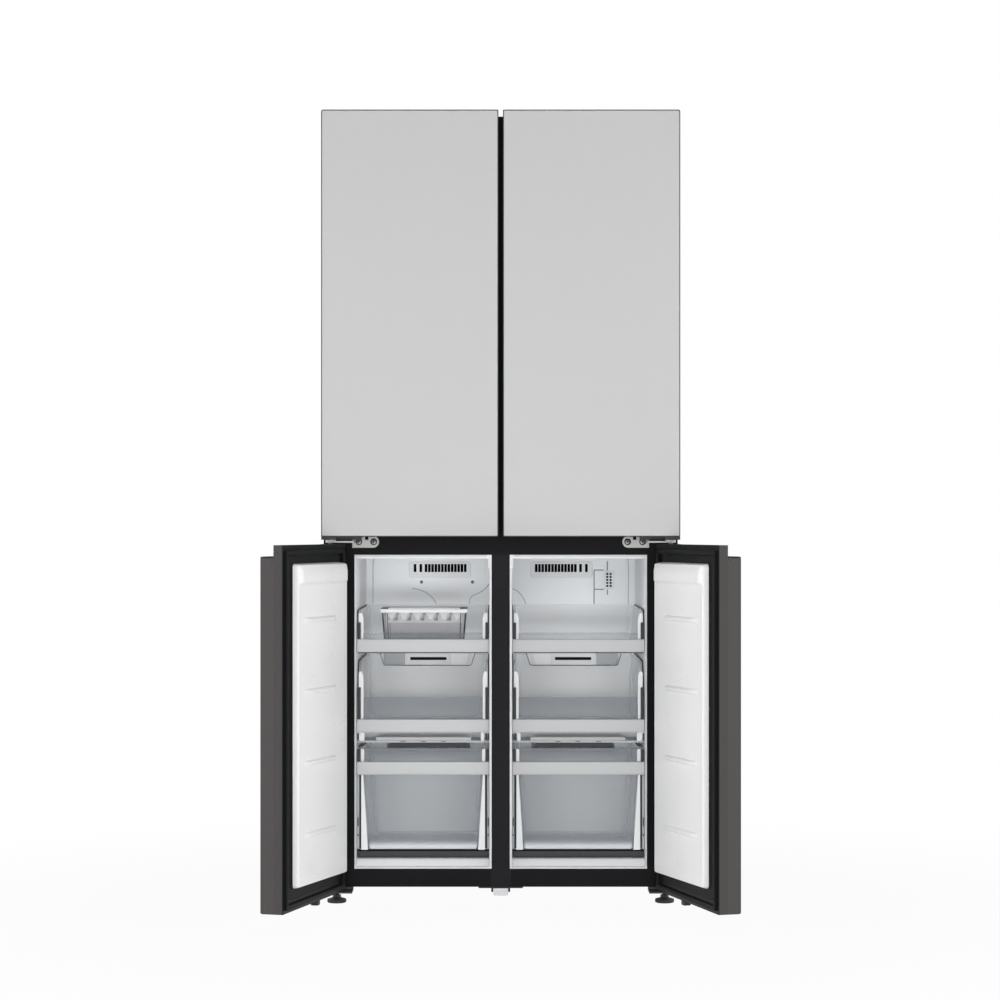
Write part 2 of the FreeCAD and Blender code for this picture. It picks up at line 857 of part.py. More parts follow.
def rotor(name, axis, start, tip_radius):
    """A fan hub with a bore for its shaft and flat blades, each turned about its own length."""
    hub = rod(f"{name}_hub", axis, start, "fan_hub_radius", "fan_hub_length")
    bore = rod(f"{name}_bore", axis, start, "shaft_radius + shaft_clearance", "fan_hub_length")
    pitch = FreeCAD.Rotation(Vector(1, 0, 0), FAN_PITCH)
    blades = []
    for index in range(FAN_BLADES):
        blade = doc.addObject("Part::Box", f"{name}_blade_{index}")
        spin = FreeCAD.Rotation(Vector(0, 0, 1), 360 * index / FAN_BLADES)
        turn = TURNS[axis].multiply(spin).multiply(pitch)
        blade.Placement = FreeCAD.Placement(Vector(), turn)
        bind(blade, "Length", f"{tip_radius} - fan_hub_radius / 2")
        bind(blade, "Width", "fan_blade_sheet")
        bind(blade, "Height", "fan_blade_chord")
        reach = turn.multVec(Vector(1, 0, 0))
        sheet_way = turn.multVec(Vector(0, 1, 0))
        chord_way = turn.multVec(Vector(0, 0, 1))
        for letter, place in zip("xyz", start):
            middle = f"{place} + fan_hub_length / 2" if letter == axis else place
            root = f"fan_hub_radius / 2 * {getattr(reach, letter):.9f}"
            sheet_half = f"fan_blade_sheet / 2 * {getattr(sheet_way, letter):.9f}"
            chord_half = f"fan_blade_chord / 2 * {getattr(chord_way, letter):.9f}"
            bind(blade, f"Placement.Base.{letter}", f"{middle} + {root} - ({sheet_half}) - ({chord_half})")
        blades.append(blade)
    return cut(f"{name}_rotor", join(f"{name}_blank", [hub] + blades), [bore])


def evaporator_fan():
    start = ("-(evaporator_fan_x)", "cover_back + 2 * fan_gap", "evaporator_fan_z")
    node(rotor("evaporator_fan", "y", start, "evaporator_fan_radius"), "evaporator_fan")


def condenser_fan():
    """The machine-space fan, and the plate that holds its motor."""
    along = ("machine_front", "rear_inside")
    up = ("base_top", "machine_top - base_sheet")
    across = ("shroud_x", "shroud_x + shroud_sheet")
    plate = block("shroud_plate", across, along, up)
    centre = ("shroud_x", "machine_y", "machine_z")
    opening = rod("shroud_opening", "x", centre, "condenser_fan_radius + fan_gap", "shroud_sheet")
    bar = block(
        "shroud_bar", across, ("machine_y - shroud_margin / 2", "machine_y + shroud_margin / 2"), up
    )
    motor = rod(
        "condenser_motor",
        "x",
        ("shroud_x + shroud_sheet / 2", "machine_y", "machine_z"),
        "motor_radius",
        "motor_length",
    )
    shaft_start = ("shroud_x - fan_hub_length - 2 * fan_gap", "machine_y", "machine_z")
    shaft = rod("condenser_shaft", "x", shaft_start, "shaft_radius", "fan_hub_length + 3 * fan_gap")
    ring = cut("shroud_ring", plate, [opening])
    node(join("shroud_body", [ring, bar, motor, shaft]), "fan_shroud")
    start = ("shroud_x - fan_hub_length - fan_gap", "machine_y", "machine_z")
    node(rotor("condenser_fan", "x", start, "condenser_fan_radius"), "condenser_fan")


def machine_cover():
    """The slotted rear cover of the machine space, with the blank gland for a mains lead."""
    body = new_body("machine_cover_body")
    outline = sketch_on(body, "XZ_Plane", "machine_cover_outline", "-(rear_inside)")
    rectangle(outline, ("-half_case", "half_case"), ("floor_gap", "machine_top"))
    pad(body, outline, "rear_sheet", backwards=True)
    slot = sketch_on(body, "XZ_Plane", "machine_slot", "-(rear_inside)")
    foot = "floor_gap + grille_margin"
    top = "machine_top - grille_margin"
    row_half = f"grille_pitch * {(GRILLE_SLOTS - 1) / 2}"
    for middle in ("shroud_x + condenser_x / 2", "compressor_x"):
        start = f"{middle} - {row_half}"
        for index in range(GRILLE_SLOTS):
            left = f"{start} + {index} * grille_pitch"
            rectangle(slot, (left, f"{left} + grille_slot"), (foot, top))
    pocket(body, slot, "rear_sheet")
    boss = sketch_on(body, "XZ_Plane", "inlet_outline", "-(rear_inside)")
    circle(boss, ("half_case - inlet_offset", "floor_gap + inlet_offset"), "inlet_radius")
    pad(body, boss, "inlet_length")
    bore = sketch_on(body, "XZ_Plane", "inlet_bore_outline", "-(overall_depth)")
    circle(bore, ("half_case - inlet_offset", "floor_gap + inlet_offset"), "inlet_bore")
    pocket(body, bore, "inlet_length", backwards=True)
    node(body, "machine_cover")


# Hinges and floor hardware


def screw_places(side):
    places = []
    for along in ("screw_inset", "screw_inset + screw_pitch"):
        places.append(f"{side} * (plate_inner - plate_half + {along})")
    return places


def hinge_arm(name, side, inner, back, up):
    """A flat arm that reaches forwards to the hinge line and ends in a half round."""
    foot, top = up
    near = "hinge_y - arm_half"
    reach = block(f"{name}_reach", span(side, inner, "hinge_x"), (near, "hinge_y + arm_half"), up)
    stem = block(f"{name}_stem", span(side, inner, f"{inner} + 2 * arm_half"), (near, back), up)
    end = rod(f"{name}_end", "z", (f"{side} * hinge_x", "hinge_y", foot), "arm_half", f"({top}) - ({foot})")
    return [reach, stem, end]


def pin(name, side, up):
    foot, top = up
    return rod(name, "z", (f"{side} * hinge_x", "hinge_y", foot), "pin_radius", f"({top}) - ({foot})")


def middle_hinge(name, side):
    along = ("case_front - plate_sheet", "case_front")
    up = ("seam - plate_half", "seam + plate_half")
    plate = block(f"{name}_plate", span(side, "plate_inner", "plate_outer"), along, up)
    nose_start = (f"{side} * plate_inner", "case_front - plate_sheet", "seam")
    nose = rod(f"{name}_nose", "y", nose_start, "plate_half", "plate_sheet")
    arm = hinge_arm(name, side, "arm_inner", "case_front", ("arm_foot", "arm_top"))
    pivot = pin(f"{name}_pin", side, ("arm_foot - pin_reach", "arm_top + pin_reach"))
    holes = []
    for index, place in enumerate(screw_places(side)):
        start = (place, "case_front - plate_sheet", "seam")
        holes.append(rod(f"{name}_hole_{index}", "y", start, "screw_radius + pin_clearance", "plate_sheet"))
    return cut(f"{name}_bracket", join(f"{name}_blank", [plate, nose, pivot] + arm), holes)


def top_hinge(name, side):
    """A plate on the roof with a narrow neck, so that the door can swing past it."""
    up = ("case_top", "case_top + plate_sheet")
    plate_start = "case_front + arm_clearance"
    across = span(side, "hinge_x - arm_half", "hinge_x + arm_half")
    plate = block(f"{name}_plate", across, (plate_start, "case_front + top_plate_length"), up)
    neck_across = span(side, "hinge_x - top_neck_half", "hinge_x + top_neck_half")
    neck = block(f"{name}_neck", neck_across, ("hinge_y", plate_start), up)
    end = rod(f"{name}_end", "z", (f"{side} * hinge_x", "hinge_y", "case_top"), "arm_half", "plate_sheet")
    pivot = pin(f"{name}_pin", side, ("case_top - pin_reach", "case_top + plate_sheet"))
    return join(f"{name}_bracket", [plate, neck, end, pivot])


def bottom_hinge(name, side):
    up = ("bottom_arm_top - arm_thick", "bottom_arm_top")
    back = "case_front + bottom_bracket_depth"
    arm = hinge_arm(name, side, "bottom_bracket_inner", back, up)
    across = span(side, "bottom_bracket_inner", "bottom_bracket_inner + 2 * arm_half")
    riser = block(f"{name}_riser", across, ("case_front", back), ("bottom_arm_top - arm_thick", "floor_gap"))
    pivot = pin(f"{name}_pin", side, ("bottom_arm_top - arm_thick", "bottom_arm_top + pin_reach"))
    return join(f"{name}_bracket", arm + [riser, pivot])


def hinge_cover(name, side):
    across = span(side, "hinge_x - cover_half", "hinge_x + cover_half")
    along = ("case_front + hinge_play", "case_front + cover_length")
    up = ("case_top", "case_top + cover_height")
    shell = block(f"{name}_shell", across, along, up)
    inside = block(
        f"{name}_inside",
        inset(across, "cover_wall"),
        ("case_front", "case_front + cover_length - cover_wall"),
        ("case_top", "case_top + cover_height - cover_wall"),
    )
    return cut(name, shell, [inside])


def screw(name, place):
    start = (place, "case_front - plate_sheet - screw_head", "seam")
    head = rod(f"{name}_head", "y", start, "screw_head_radius", "screw_head")
    shank = rod(f"{name}_shank", "y", start, "screw_radius", "screw_head + screw_length")
    return join(name, [head, shank])


def hinges():
    makers = (
        (top_hinge, "top_hinge"),
        (middle_hinge, "middle_hinge"),
        (bottom_hinge, "bottom_hinge"),
        (hinge_cover, "hinge_cover"),
    )
    for maker, word in makers:
        pair = [maker(f"{name}_{word}", side) for name, side in SIDES.items()]
        node(gather(f"{word}_pair", pair), f"{word}s")
    screws = []
    for name, side in SIDES.items():
        for index, place in enumerate(screw_places(side)):
            screws.append(screw(f"{name}_screw_{index}", place))
    node(gather("screw_set", screws), "hinge_screws")


def foot(name, side):
    """A levelling foot: a disc, a collar to turn it by and a threaded stud, turned about Z."""
    body = new_body(f"{name}_foot_body")
    profile = sketch_on(body, "XZ_Plane", f"{name}_foot_profile", "0")
    stud_top = "base_top - stud_short"
    corners = [
        ("0", "0"),
        ("foot_radius", "0"),
        ("foot_radius", "foot_disc"),
        ("foot_collar_radius", "foot_disc"),
        ("foot_collar_radius", "foot_collar"),
        ("stud_radius", "foot_collar"),
        ("stud_radius", stud_top),
        ("0", stud_top),
    ]
    polygon(profile, corners)
    turned = body.newObject("PartDesign::Revolution", f"{name}_foot_turned")
    turned.Profile = profile
    turned.ReferenceAxis = (profile, ["V_Axis"])
    turned.Angle = 360
    bind(body, "Placement.Base.x", f"{side} * foot_x")
    bind(body, "Placement.Base.y", "foot_y")
    node(body, f"{name}_foot")


def roller(name, side):
    low = f"{side} * roller_x - roller_width / 2"
    start = (low, "roller_y", "roller_radius")
    wheel = rod(f"{name}_wheel", "x", start, "roller_radius", "roller_width")
    bore = rod(f"{name}_wheel_bore", "x", start, "axle_radius + axle_clearance", "roller_width")
    node(cut(f"{name}_roller_body", wheel, [bore]), f"{name}_roller")


def centre_stop():
    """A bracket under the middle of the sill with two pegs and a plastic skid."""
    along = ("case_front", "case_front + stop_depth")
    plate_up = ("floor_gap - stop_sheet", "floor_gap")
    plate = block("stop_plate", ("-stop_half", "stop_half"), along, plate_up)
    pieces = [plate]
    for name, side in SIDES.items():
        start = (
            f"{side} * stop_peg_offset",
            "case_front + stop_depth / 3",
            "floor_gap - stop_sheet - stop_peg_length",
        )
        pieces.append(rod(f"{name}_stop_peg", "z", start, "stop_peg_radius", "stop_peg_length"))
    skid = block(
        "stop_skid",
        ("-stop_block_half", "stop_block_half"),
        along,
        ("floor_gap - stop_sheet - stop_block_height", "floor_gap - stop_sheet"),
    )
    node(gather("stop_set", [join("stop_bracket", pieces), skid]), "centre_stop")


# Doors


DOOR_LEVELS = {
    "lower": {
        "foot": "lower_foot",
        "top": "lower_frame_top",
        "panel": ("lower_foot + panel_edge", "lower_panel_top"),
        "grip": "lower_panel_top",
        "dip": "lower_panel_top - grip_dip",
        "seam_edge": "lower_frame_top",
        "far_edge": "lower_foot",
        "room": ("lower_foot + door_wall", "lower_panel_top - grip_dip - door_wall"),
        "gasket": ("lower_foot + gasket_inset", "lower_frame_top - gasket_seam_inset"),
        "dish": ("lower_foot + dish_end_margin", "lower_frame_top - dish_seam_margin"),
    },
    "upper": {
        "foot": "upper_frame_foot",
        "top": "door_top",
        "panel": ("upper_panel_foot", "door_top - panel_edge"),
        "grip": "upper_panel_foot",
        "dip": "upper_panel_foot + grip_dip",
        "seam_edge": "upper_frame_foot",
        "far_edge": "door_top",
        "room": ("upper_panel_foot + grip_dip + door_wall", "recess_floor - door_wall"),
        "gasket": ("upper_frame_foot + gasket_seam_inset", "door_top - gasket_inset"),
        "dish": ("upper_frame_foot + dish_seam_margin", "door_top - dish_end_margin"),
    },
}


def swing_open(piece, side):
    """Turn a finished lower-door piece about its hinge line to the open rest pose."""
    piece.Placement = FreeCAD.Placement(Vector(), FreeCAD.Rotation(Vector(0, 0, 1), side))
    turn = f"{side} * lower_door_open_deg"
    pin_x = f"{side} * hinge_x"
    bind(piece, "Placement.Rotation.Angle", turn)
    bind(piece, "Placement.Base.x", f"{pin_x} * (1 - cos({turn})) + hinge_y * sin({turn})")
    bind(piece, "Placement.Base.y", f"hinge_y * (1 - cos({turn})) - {pin_x} * sin({turn})")


def door_case(name, side, level):
    """The dark case of a door: a tray behind the panel, with the finger grip along its seam edge."""
    body = new_body(f"{name}_case_body")
    start = span(side, "door_inner", "door_outer")[0]
    width = "door_outer - door_inner"
    profile = sketch_on(body, "YZ_Plane", f"{name}_profile", start)
    corners = [
        ("panel_thick", level["far_edge"]),
        ("door_depth", level["far_edge"]),
        ("door_depth", level["seam_edge"]),
        ("grip_depth", level["seam_edge"]),
        ("grip_depth", level["dip"]),
        ("panel_thick", level["grip"]),
    ]
    polygon(profile, corners)
    pad(body, profile, width)
    block_start = span(side, "hinge_x - arm_half - arm_clearance", "door_outer")[0]
    hinge_block = sketch_on(body, "YZ_Plane", f"{name}_hinge_block", block_start)
    corners = [
        ("panel_thick", level["grip"]),
        ("grip_depth", level["dip"]),
        ("grip_depth", level["seam_edge"]),
        ("panel_thick", level["seam_edge"]),
    ]
    polygon(hinge_block, corners)
    pad(body, hinge_block, "hinge_inset + arm_half + arm_clearance")
    room = sketch_on(body, "YZ_Plane", f"{name}_room", f"{start} + door_wall")
    rectangle(room, ("panel_thick", "door_depth - door_wall"), level["room"])
    pocket(body, room, f"{width} - 2 * door_wall", backwards=True)
    return body


def drill_pin_holes(body, name, side, foot_level, top_level):
    """Holes for the hinge pins in the foot and the top of a door case."""
    centre = (f"{side} * hinge_x", "hinge_y")
    depth = "pin_reach + seam_gap"
    for word, level, upwards in (("foot", foot_level, True), ("top", top_level, False)):
        hole = sketch_on(body, "XY_Plane", f"{name}_{word}_hole", level)
        circle(hole, centre, "pin_radius + pin_clearance")
        pocket(body, hole, depth, backwards=upwards)


def cut_hinge_recess(body, name, side):
    """The corner in the top of an upper door where the hinge plate lies."""
    recess = sketch_on(body, "XY_Plane", f"{name}_recess", "door_top")
    across = span(side, "hinge_x - arm_half - arm_clearance", "door_outer")
    rectangle(recess, across, ("panel_thick", "door_depth"))
    pocket(body, recess, "door_top - (recess_floor)")


def door_panel(name, side, level):
    body = new_body(f"{name}_panel_body")
    outline = sketch_on(body, "XZ_Plane", f"{name}_panel_outline", "0")
    across = span(side, "door_inner + panel_edge", "door_outer - panel_edge")
    rectangle(outline, across, level["panel"])
    plate = pad(body, outline, "panel_thick", backwards=True)
    round_front(body, plate, "panel_round")
    return body


def door_gasket(name, side, level):
    body = new_body(f"{name}_gasket_body")
    ring = sketch_on(body, "XZ_Plane", f"{name}_gasket_outline", "-(door_depth)")
    across = span(side, "door_inner + gasket_inset", "door_outer - gasket_hinge_inset")
    rectangle(ring, across, level["gasket"])
    rectangle(ring, inset(across, "gasket_width"), inset(level["gasket"], "gasket_width"))
    pad(body, ring, "gasket_thick", backwards=True)
    return body


def door_liner(name, side, level):
    """The moulded inner face of a door, a shallow hollow dish."""
    across = span(side, "door_inner + dish_free_margin", "door_outer - dish_hinge_margin")
    up = level["dish"]
    outer = rearward_taper(
        f"{name}_dish_outer",
        (across, up),
        (inset(across, "dish_slope"), inset(up, "dish_slope")),
        ("door_depth", "dish_back"),
    )
    inner_across = inset(across, "dish_wall")
    inner_up = inset(up, "dish_wall")
    inner = rearward_taper(
        f"{name}_dish_inner",
        (inner_across, inner_up),
        (inset(inner_across, "dish_slope"), inset(inner_up, "dish_slope")),
        ("door_depth", "dish_back - dish_wall"),
    )
    return cut(f"{name}_dish", outer, [inner])


def doors():
    for level_name, level in DOOR_LEVELS.items():
        for side_name, side in SIDES.items():
            name = f"{level_name}_{side_name}_door"
            case = door_case(name, side, level)
            top = level["top"]
            if level_name == "upper":
                cut_hinge_recess(case, name, side)
                top = "recess_floor"
            drill_pin_holes(case, name, side, level["foot"], top)
            pieces = {
                "case": case,
                "panel": door_panel(name, side, level),
                "gasket": door_gasket(name, side, level),
                "liner": door_liner(name, side, level),
            }
            for word, piece in pieces.items():
                if level_name == "lower":
                    swing_open(piece, side)
                node(piece, f"{name}_{word}")


def door_bins():
    """Open boxes on the inner faces of the upper doors."""
    for name, side in SIDES.items():
        bins = []
        across = span(side, "door_bin_inner", "door_bin_outer")
        along = ("dish_back", "door_bin_back")
        for index in range(DOOR_BINS):
            low = f"upper_frame_foot + dish_seam_margin + first_bin_rise + {index} * bin_pitch"
            word = f"{name}_door_bin_{index}"
            bins.append(tub(word, across, along, (low, f"{low} + door_bin_height"), "door_bin"))
        node(gather(f"{name}_door_bin_set", bins), f"upper_{name}_door_bins")


# Drawers and shelves


def tub(name, across, along, up, family):
    """An open box with drafted sides and an upright front; its wall and draft belong to its family."""
    wall = f"{family}_wall"
    draft = f"{family}_draft"
    front, back = along
    foot_across = inset(across, draft)
    foot_along = (front, f"{back} - {draft}")
    outer = upright_taper(f"{name}_outer", (foot_across, foot_along), (across, along), up)
    low, high = up
    inner = upright_taper(
        f"{name}_inner",
        (inset(foot_across, wall), inset(foot_along, wall)),
        (inset(across, wall), inset(along, wall)),
        (f"{low} + {wall}", high),
    )
    return cut(f"{name}_tub", outer, [inner])


def tray_bin(name, side, floor, front_top, wall_top):
    """A clear drawer whose front is lower than its side and rear walls."""
    across = span(side, "bin_inner", "bin_outer")
    shell = tub(name, across, ("bin_front", "tray_back"), (floor, wall_top), "bin")
    notch_along = ("bin_front", "bin_front + bin_front_cut")
    notch = block(f"{name}_notch", across, notch_along, (front_top, wall_top))
    return cut(f"{name}_bin", shell, [notch])


def bottom_bin(name, side):
    """The deep bottom drawer, hung by its rims."""
    across = span(side, "room_inner + bottom_bin_gap", "room_outer - bottom_bin_gap")
    along = ("bin_front", "bottom_back")
    shell = tub(name, across, along, ("bottom_bin_floor", "bottom_wall"), "bottom_bin")
    up = ("bottom_wall - rim_thick", "bottom_wall")
    inner_rim = span(side, "room_inner + rim_clearance", "room_inner + bottom_bin_gap + bottom_bin_wall")
    outer_rim = span(side, "room_outer - bottom_bin_gap - bottom_bin_wall", "room_outer - rim_clearance")
    inner = block(f"{name}_inner_side_rim", inner_rim, along, up)
    outer = block(f"{name}_outer_side_rim", outer_rim, along, up)
    return join(f"{name}_bin", [shell, inner, outer])


def drawer_handle(name, side, low):
    """The bar across the front of a drawer, with its lower front edge cut back."""
    body = new_body(f"{name}_handle_body")
    start = span(side, "strip_inner", "strip_outer")[0]
    profile = sketch_on(body, "YZ_Plane", f"{name}_handle_profile", start)
    top = f"{low} + strip_height"
    corners = [
        ("drawer_front", top),
        ("bin_front", top),
        ("bin_front", low),
        ("drawer_front + strip_chamfer", low),
        ("drawer_front", f"{low} + strip_chamfer"),
    ]
    polygon(profile, corners)
    pad(body, profile, "strip_outer - (strip_inner)")
    return body


def drawers():
    for side_name, side in SIDES.items():
        bins = {
            "top": (
                tray_bin(f"{side_name}_top", side, "top_bin_floor", "top_front", "top_wall"),
                "top_strip",
            ),
            "middle": (
                tray_bin(f"{side_name}_middle", side, "middle_bin_floor", "middle_front", "middle_wall"),
                "middle_strip",
            ),
            "bottom": (bottom_bin(f"{side_name}_bottom", side), "bottom_strip"),
        }
        for level_name, (piece, strip) in bins.items():
            name = f"{side_name}_{level_name}_drawer"
            node(piece, f"{name}_bin")
            node(drawer_handle(name, side, strip), f"{name}_handle")


def runners():
    """Ledges on the walls of the lower compartments that the drawers slide on."""
    rails = []
    levels = {
        "top": ("top_bin_floor", "tray_back"),
        "middle": ("middle_bin_floor", "tray_back"),
        "bottom": ("bottom_wall - rim_thick", "bottom_back"),
    }
    for side_name, side in SIDES.items():
        for level_name, (top, back) in levels.items():
            along = ("case_front + runner_setback", back)
            up = (f"{top} - runner_thick", top)
            width = "runner_width" if level_name != "bottom" else "(runner_width / 2)"
            near_wall = span(side, "room_inner", f"room_inner + {width}")
            far_wall = span(side, f"room_outer - {width}", "room_outer")
            rails.append(block(f"{side_name}_{level_name}_inner_runner", near_wall, along, up))
            rails.append(block(f"{side_name}_{level_name}_outer_runner", far_wall, along, up))
    node(gather("runner_set", rails), "drawer_runners")


def ice_maker():
    """A clear box in the left top drawer with a tray of ice cells resting on its rim."""
    across = span(-1, "ice_inner", "ice_outer")
    along = ("ice_near", "ice_far")
    node(tub("ice_store", across, along, ("ice_floor", "ice_top"), "ice"), "ice_box")
    rim = block("ice_tray_rim", across, along, ("ice_top", "ice_top + ice_rim"))
    cells = []
    hollows = []
    pitch = f"(ice_length - 2 * ice_cell_margin) / {ICE_CELLS}"
    low = "-(ice_outer) + ice_cell_margin"
    cell_along = inset(along, "ice_cell_margin")
    up = ("ice_top - ice_cell_depth", "ice_top + ice_rim")
    for index in range(ICE_CELLS):
        width = (f"{low} + {index} * {pitch}", f"{low} + {index + 1} * {pitch}")
        head = (inset(width, "ice_cell_wall / 4"), cell_along)
        taper = (inset(head[0], "ice_cell_draft"), inset(head[1], "ice_cell_draft"))
        cells.append(upright_taper(f"ice_cell_{index}", taper, head, up))
        hollow_head = (inset(head[0], "ice_cell_wall"), inset(head[1], "ice_cell_wall"))
        hollow_foot = (inset(taper[0], "ice_cell_wall"), inset(taper[1], "ice_cell_wall"))
        hollow_up = (f"{up[0]} + ice_cell_wall", up[1])
        hollows.append(upright_taper(f"ice_hollow_{index}", hollow_foot, hollow_head, hollow_up))
    node(cut("ice_tray_body", join("ice_tray_blank", [rim] + cells), hollows), "ice_tray")


def upper_fittings():
    """Glass shelves and fixed crisper boxes behind the upper doors."""
    panes = []
    crispers = []
    for name, side in SIDES.items():
        across = span(side, "room_inner + shelf_gap", "room_outer - shelf_gap")
        along = ("shelf_front", "shelf_back")
        for index in range(SHELVES):
            level = shelf_level(index)
            panes.append(block(f"{name}_shelf_{index}", across, along, (level, f"{level} + shelf_glass")))
        box_across = span(side, "room_inner + crisper_gap", "room_outer - crisper_gap")
        up = ("upper_floor", "upper_floor + crisper_height")
        crispers.append(tub(f"{name}_crisper", box_across, along, up, "crisper"))
    node(gather("shelf_set", panes), "glass_shelves")
    node(gather("crisper_set", crispers), "crisper_boxes")


def check_model():
    """Stop if anything failed to build."""
    doc.recompute()
    for thing in doc.Objects:
        if "Invalid" in thing.State or "Error" in thing.State:
            raise RuntimeError(f"{thing.Label} failed: {thing.State}")
    for piece in nodes:
        if piece.Shape.isNull() or not piece.Shape.isValid() or not piece.Shape.Solids:
            raise RuntimeError(f"{piece.Label} has no valid solid")


def write_steps():
    os.makedirs("parts", exist_ok=True)
    for piece in nodes:
        piece.Shape.exportStep(f"parts/{piece.Label}.step")


fill_sheet()
outer_case()
rear_panel()
base_pan()
front_frame()
liners_and_foam()
rear_covers()
evaporator()
condenser()
compressor()
evaporator_fan()
condenser_fan()
machine_cover()
hinges()
for side_name, side in SIDES.items():
    foot(side_name, side)
    roller(side_name, side)
centre_stop()
doors()
door_bins()
drawers()
runners()
ice_maker()
upper_fittings()
check_model()
write_steps()
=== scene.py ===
"""Dresses a four-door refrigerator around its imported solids: finishes, moulded pieces, stage and camera."""

import json
import math
from collections import namedtuple

import bmesh
import bpy
from bpy.props import FloatProperty, FloatVectorProperty, IntProperty, PointerProperty
from mathutils import Matrix, Vector


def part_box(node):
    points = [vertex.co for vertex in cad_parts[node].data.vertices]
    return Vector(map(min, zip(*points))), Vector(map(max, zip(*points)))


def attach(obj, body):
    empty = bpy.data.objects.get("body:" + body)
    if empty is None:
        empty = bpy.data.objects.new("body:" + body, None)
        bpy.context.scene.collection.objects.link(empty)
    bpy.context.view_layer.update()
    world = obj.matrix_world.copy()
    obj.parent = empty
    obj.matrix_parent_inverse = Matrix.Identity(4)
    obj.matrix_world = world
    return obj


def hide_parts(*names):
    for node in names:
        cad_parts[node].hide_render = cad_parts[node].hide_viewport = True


bl_info = {
    "name": "Four-Door Refrigerator",
    "version": (1, 0, 0),
    "blender": (4, 5, 0),
    "location": "View3D > Sidebar > Refrigerator",
    "description": "Finishes and moulded pieces for a four-door refrigerator",
    "category": "Add Mesh",
}

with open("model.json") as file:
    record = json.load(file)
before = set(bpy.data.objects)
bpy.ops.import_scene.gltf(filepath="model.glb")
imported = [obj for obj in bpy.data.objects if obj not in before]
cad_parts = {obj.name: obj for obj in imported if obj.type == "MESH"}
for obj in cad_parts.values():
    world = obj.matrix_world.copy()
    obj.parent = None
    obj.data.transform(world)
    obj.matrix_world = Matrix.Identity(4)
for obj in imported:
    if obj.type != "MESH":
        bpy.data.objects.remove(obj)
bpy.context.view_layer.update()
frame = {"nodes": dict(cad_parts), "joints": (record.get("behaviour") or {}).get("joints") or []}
SIDES = {"left": -1, "right": 1}
FINISHES = {}

# Places on the cabinet: distances from the centre plane, heights and depths
OPENING_NEAR = 0.0235
OPENING_FAR = 0.343
OPENING_FOOT = 0.085
OPENING_HEAD = 0.821
FRAME_FRONT = 0.061
ROOM_NEAR = 0.0262
ROOM_FAR = 0.3403
BAR_NEAR = 0.0275
BAR_FAR = 0.3390
HINGE_LINE = 0.3965

# Angles from which an edge is shaded as sharp, and from which a modifier rounds it
SHARP_ANGLE = math.radians(48)
ROUNDED_ANGLE = math.radians(40)


# Lengths and colours that a user would change


def length(name, description, default):
    """A length in metres."""
    return FloatProperty(name=name, description=description, default=default, min=0, unit="LENGTH",
                         precision=4)


def colour(name, description, default):
    """A linear colour."""
    return FloatVectorProperty(name=name, description=description, default=default, size=3, min=0, max=1,
                               subtype="COLOR")


def share(name, description, default):
    """A number from 0 to 1."""
    return FloatProperty(name=name, description=description, default=default, min=0, max=1,
                         subtype="FACTOR")


class DoorSettings(bpy.types.PropertyGroup):
    """Sizes of the four doors."""

    skin_corner: length("Skin corner", "Corner radius of a door's grey skin", 0.003)
    skin_edge: length("Skin edge", "Rounding of a skin's front edge", 0.0014)
    seal_inner: length("Seal inner side", "From the centre plane to a seal's near side", 0.0133)
    seal_outer: length("Seal outer side", "From the centre plane to a seal's far side", 0.3935)
    seal_root: length("Seal root", "Depth at which a seal is held in its door", 0.053)
    dish_inner: length("Dish inner side", "From the centre plane to a moulded dish", 0.0503)
    dish_outer: length("Dish outer side", "From the centre plane to a dish's far side", 0.3388)
    dish_rise: length("Dish rise", "How far a dish stands out of its door at the hinge side", 0.0328)
    dish_near: length("Dish near rise", "How far a dish stands out at its door's free side", 0.0190)
    dish_lift: length("Dish lift", "How far a lower dish's head stands over its plain form", 0.003)
    dish_slope: length("Dish slope", "Width of a dish's rounded side", 0.005)
    dish_corner: length("Dish corner", "Corner radius of a dish", 0.009)
    band_height: length("Band height", "Height of the thicker band at a lower dish's head", 0.044)
    band_rise: length("Band rise", "How far the band stands out of the dish", 0.006)
    rib_rise: length("Rib rise", "How far a pressed rib stands out of the dish", 0.006)
    rib_half: length("Rib half height", "Half the height of a pressed rib", 0.0065)
    rib_near: length("Rib near end", "From the centre plane to a rib's near end", 0.076)
    rib_far: length("Rib far end", "From the centre plane to a rib's far end", 0.268)
    rib_first: length("First rib", "Height of the lowest rib above the floor", 0.2026)
    rib_pitch: length("Rib pitch", "Distance from one rib to the next", 0.159)
    rib_count: IntProperty(name="Ribs", description="Pressed ribs on each lower dish", default=4, min=0)


class DrawerSettings(bpy.types.PropertyGroup):
    """Sizes of the drawers and the ice maker."""

    wall: length("Wall", "Thickness of a clear wall", 0.0026)
    rim: length("Rim", "How far a drawer's rim stands out", 0.0022)
    front_corner: length("Front corner", "Corner radius of a drawer's front", 0.006)
    corner: length("Rear corner", "Corner radius of a drawer's rear", 0.024)
    fillet: length("Fillet", "Rounding round a drawer's floor", 0.008)
    handle_edge: length("Handle edge", "Rounding of a handle's ends", 0.0022)
    clip_width: length("Clip width", "Width of the clip at each end of a handle", 0.0085)


class CabinetSettings(bpy.types.PropertyGroup):
    """Sizes of the fixed pieces."""

    lip_side: length("Lip side", "Width of the white lip at the sides of a lower opening", 0.0032)
    lip_head: length("Lip head", "Height of the lip at the head of a lower opening", 0.0092)
    lip_cover: length("Lip cover", "How far the lip covers the dark frame", 0.0003)
    lip_middle: length("Lip at the middle", "How far the lip covers the middle post", 0.0022)
    edge: length("Sheet edge", "Rounding of the case's and the frame's edges", 0.0008)
    bead_rise: length("Bead rise", "How far the pressed beads stand out of the rear sheet", 0.003)
    bead_width: length("Bead width", "Width of a pressed bead", 0.016)


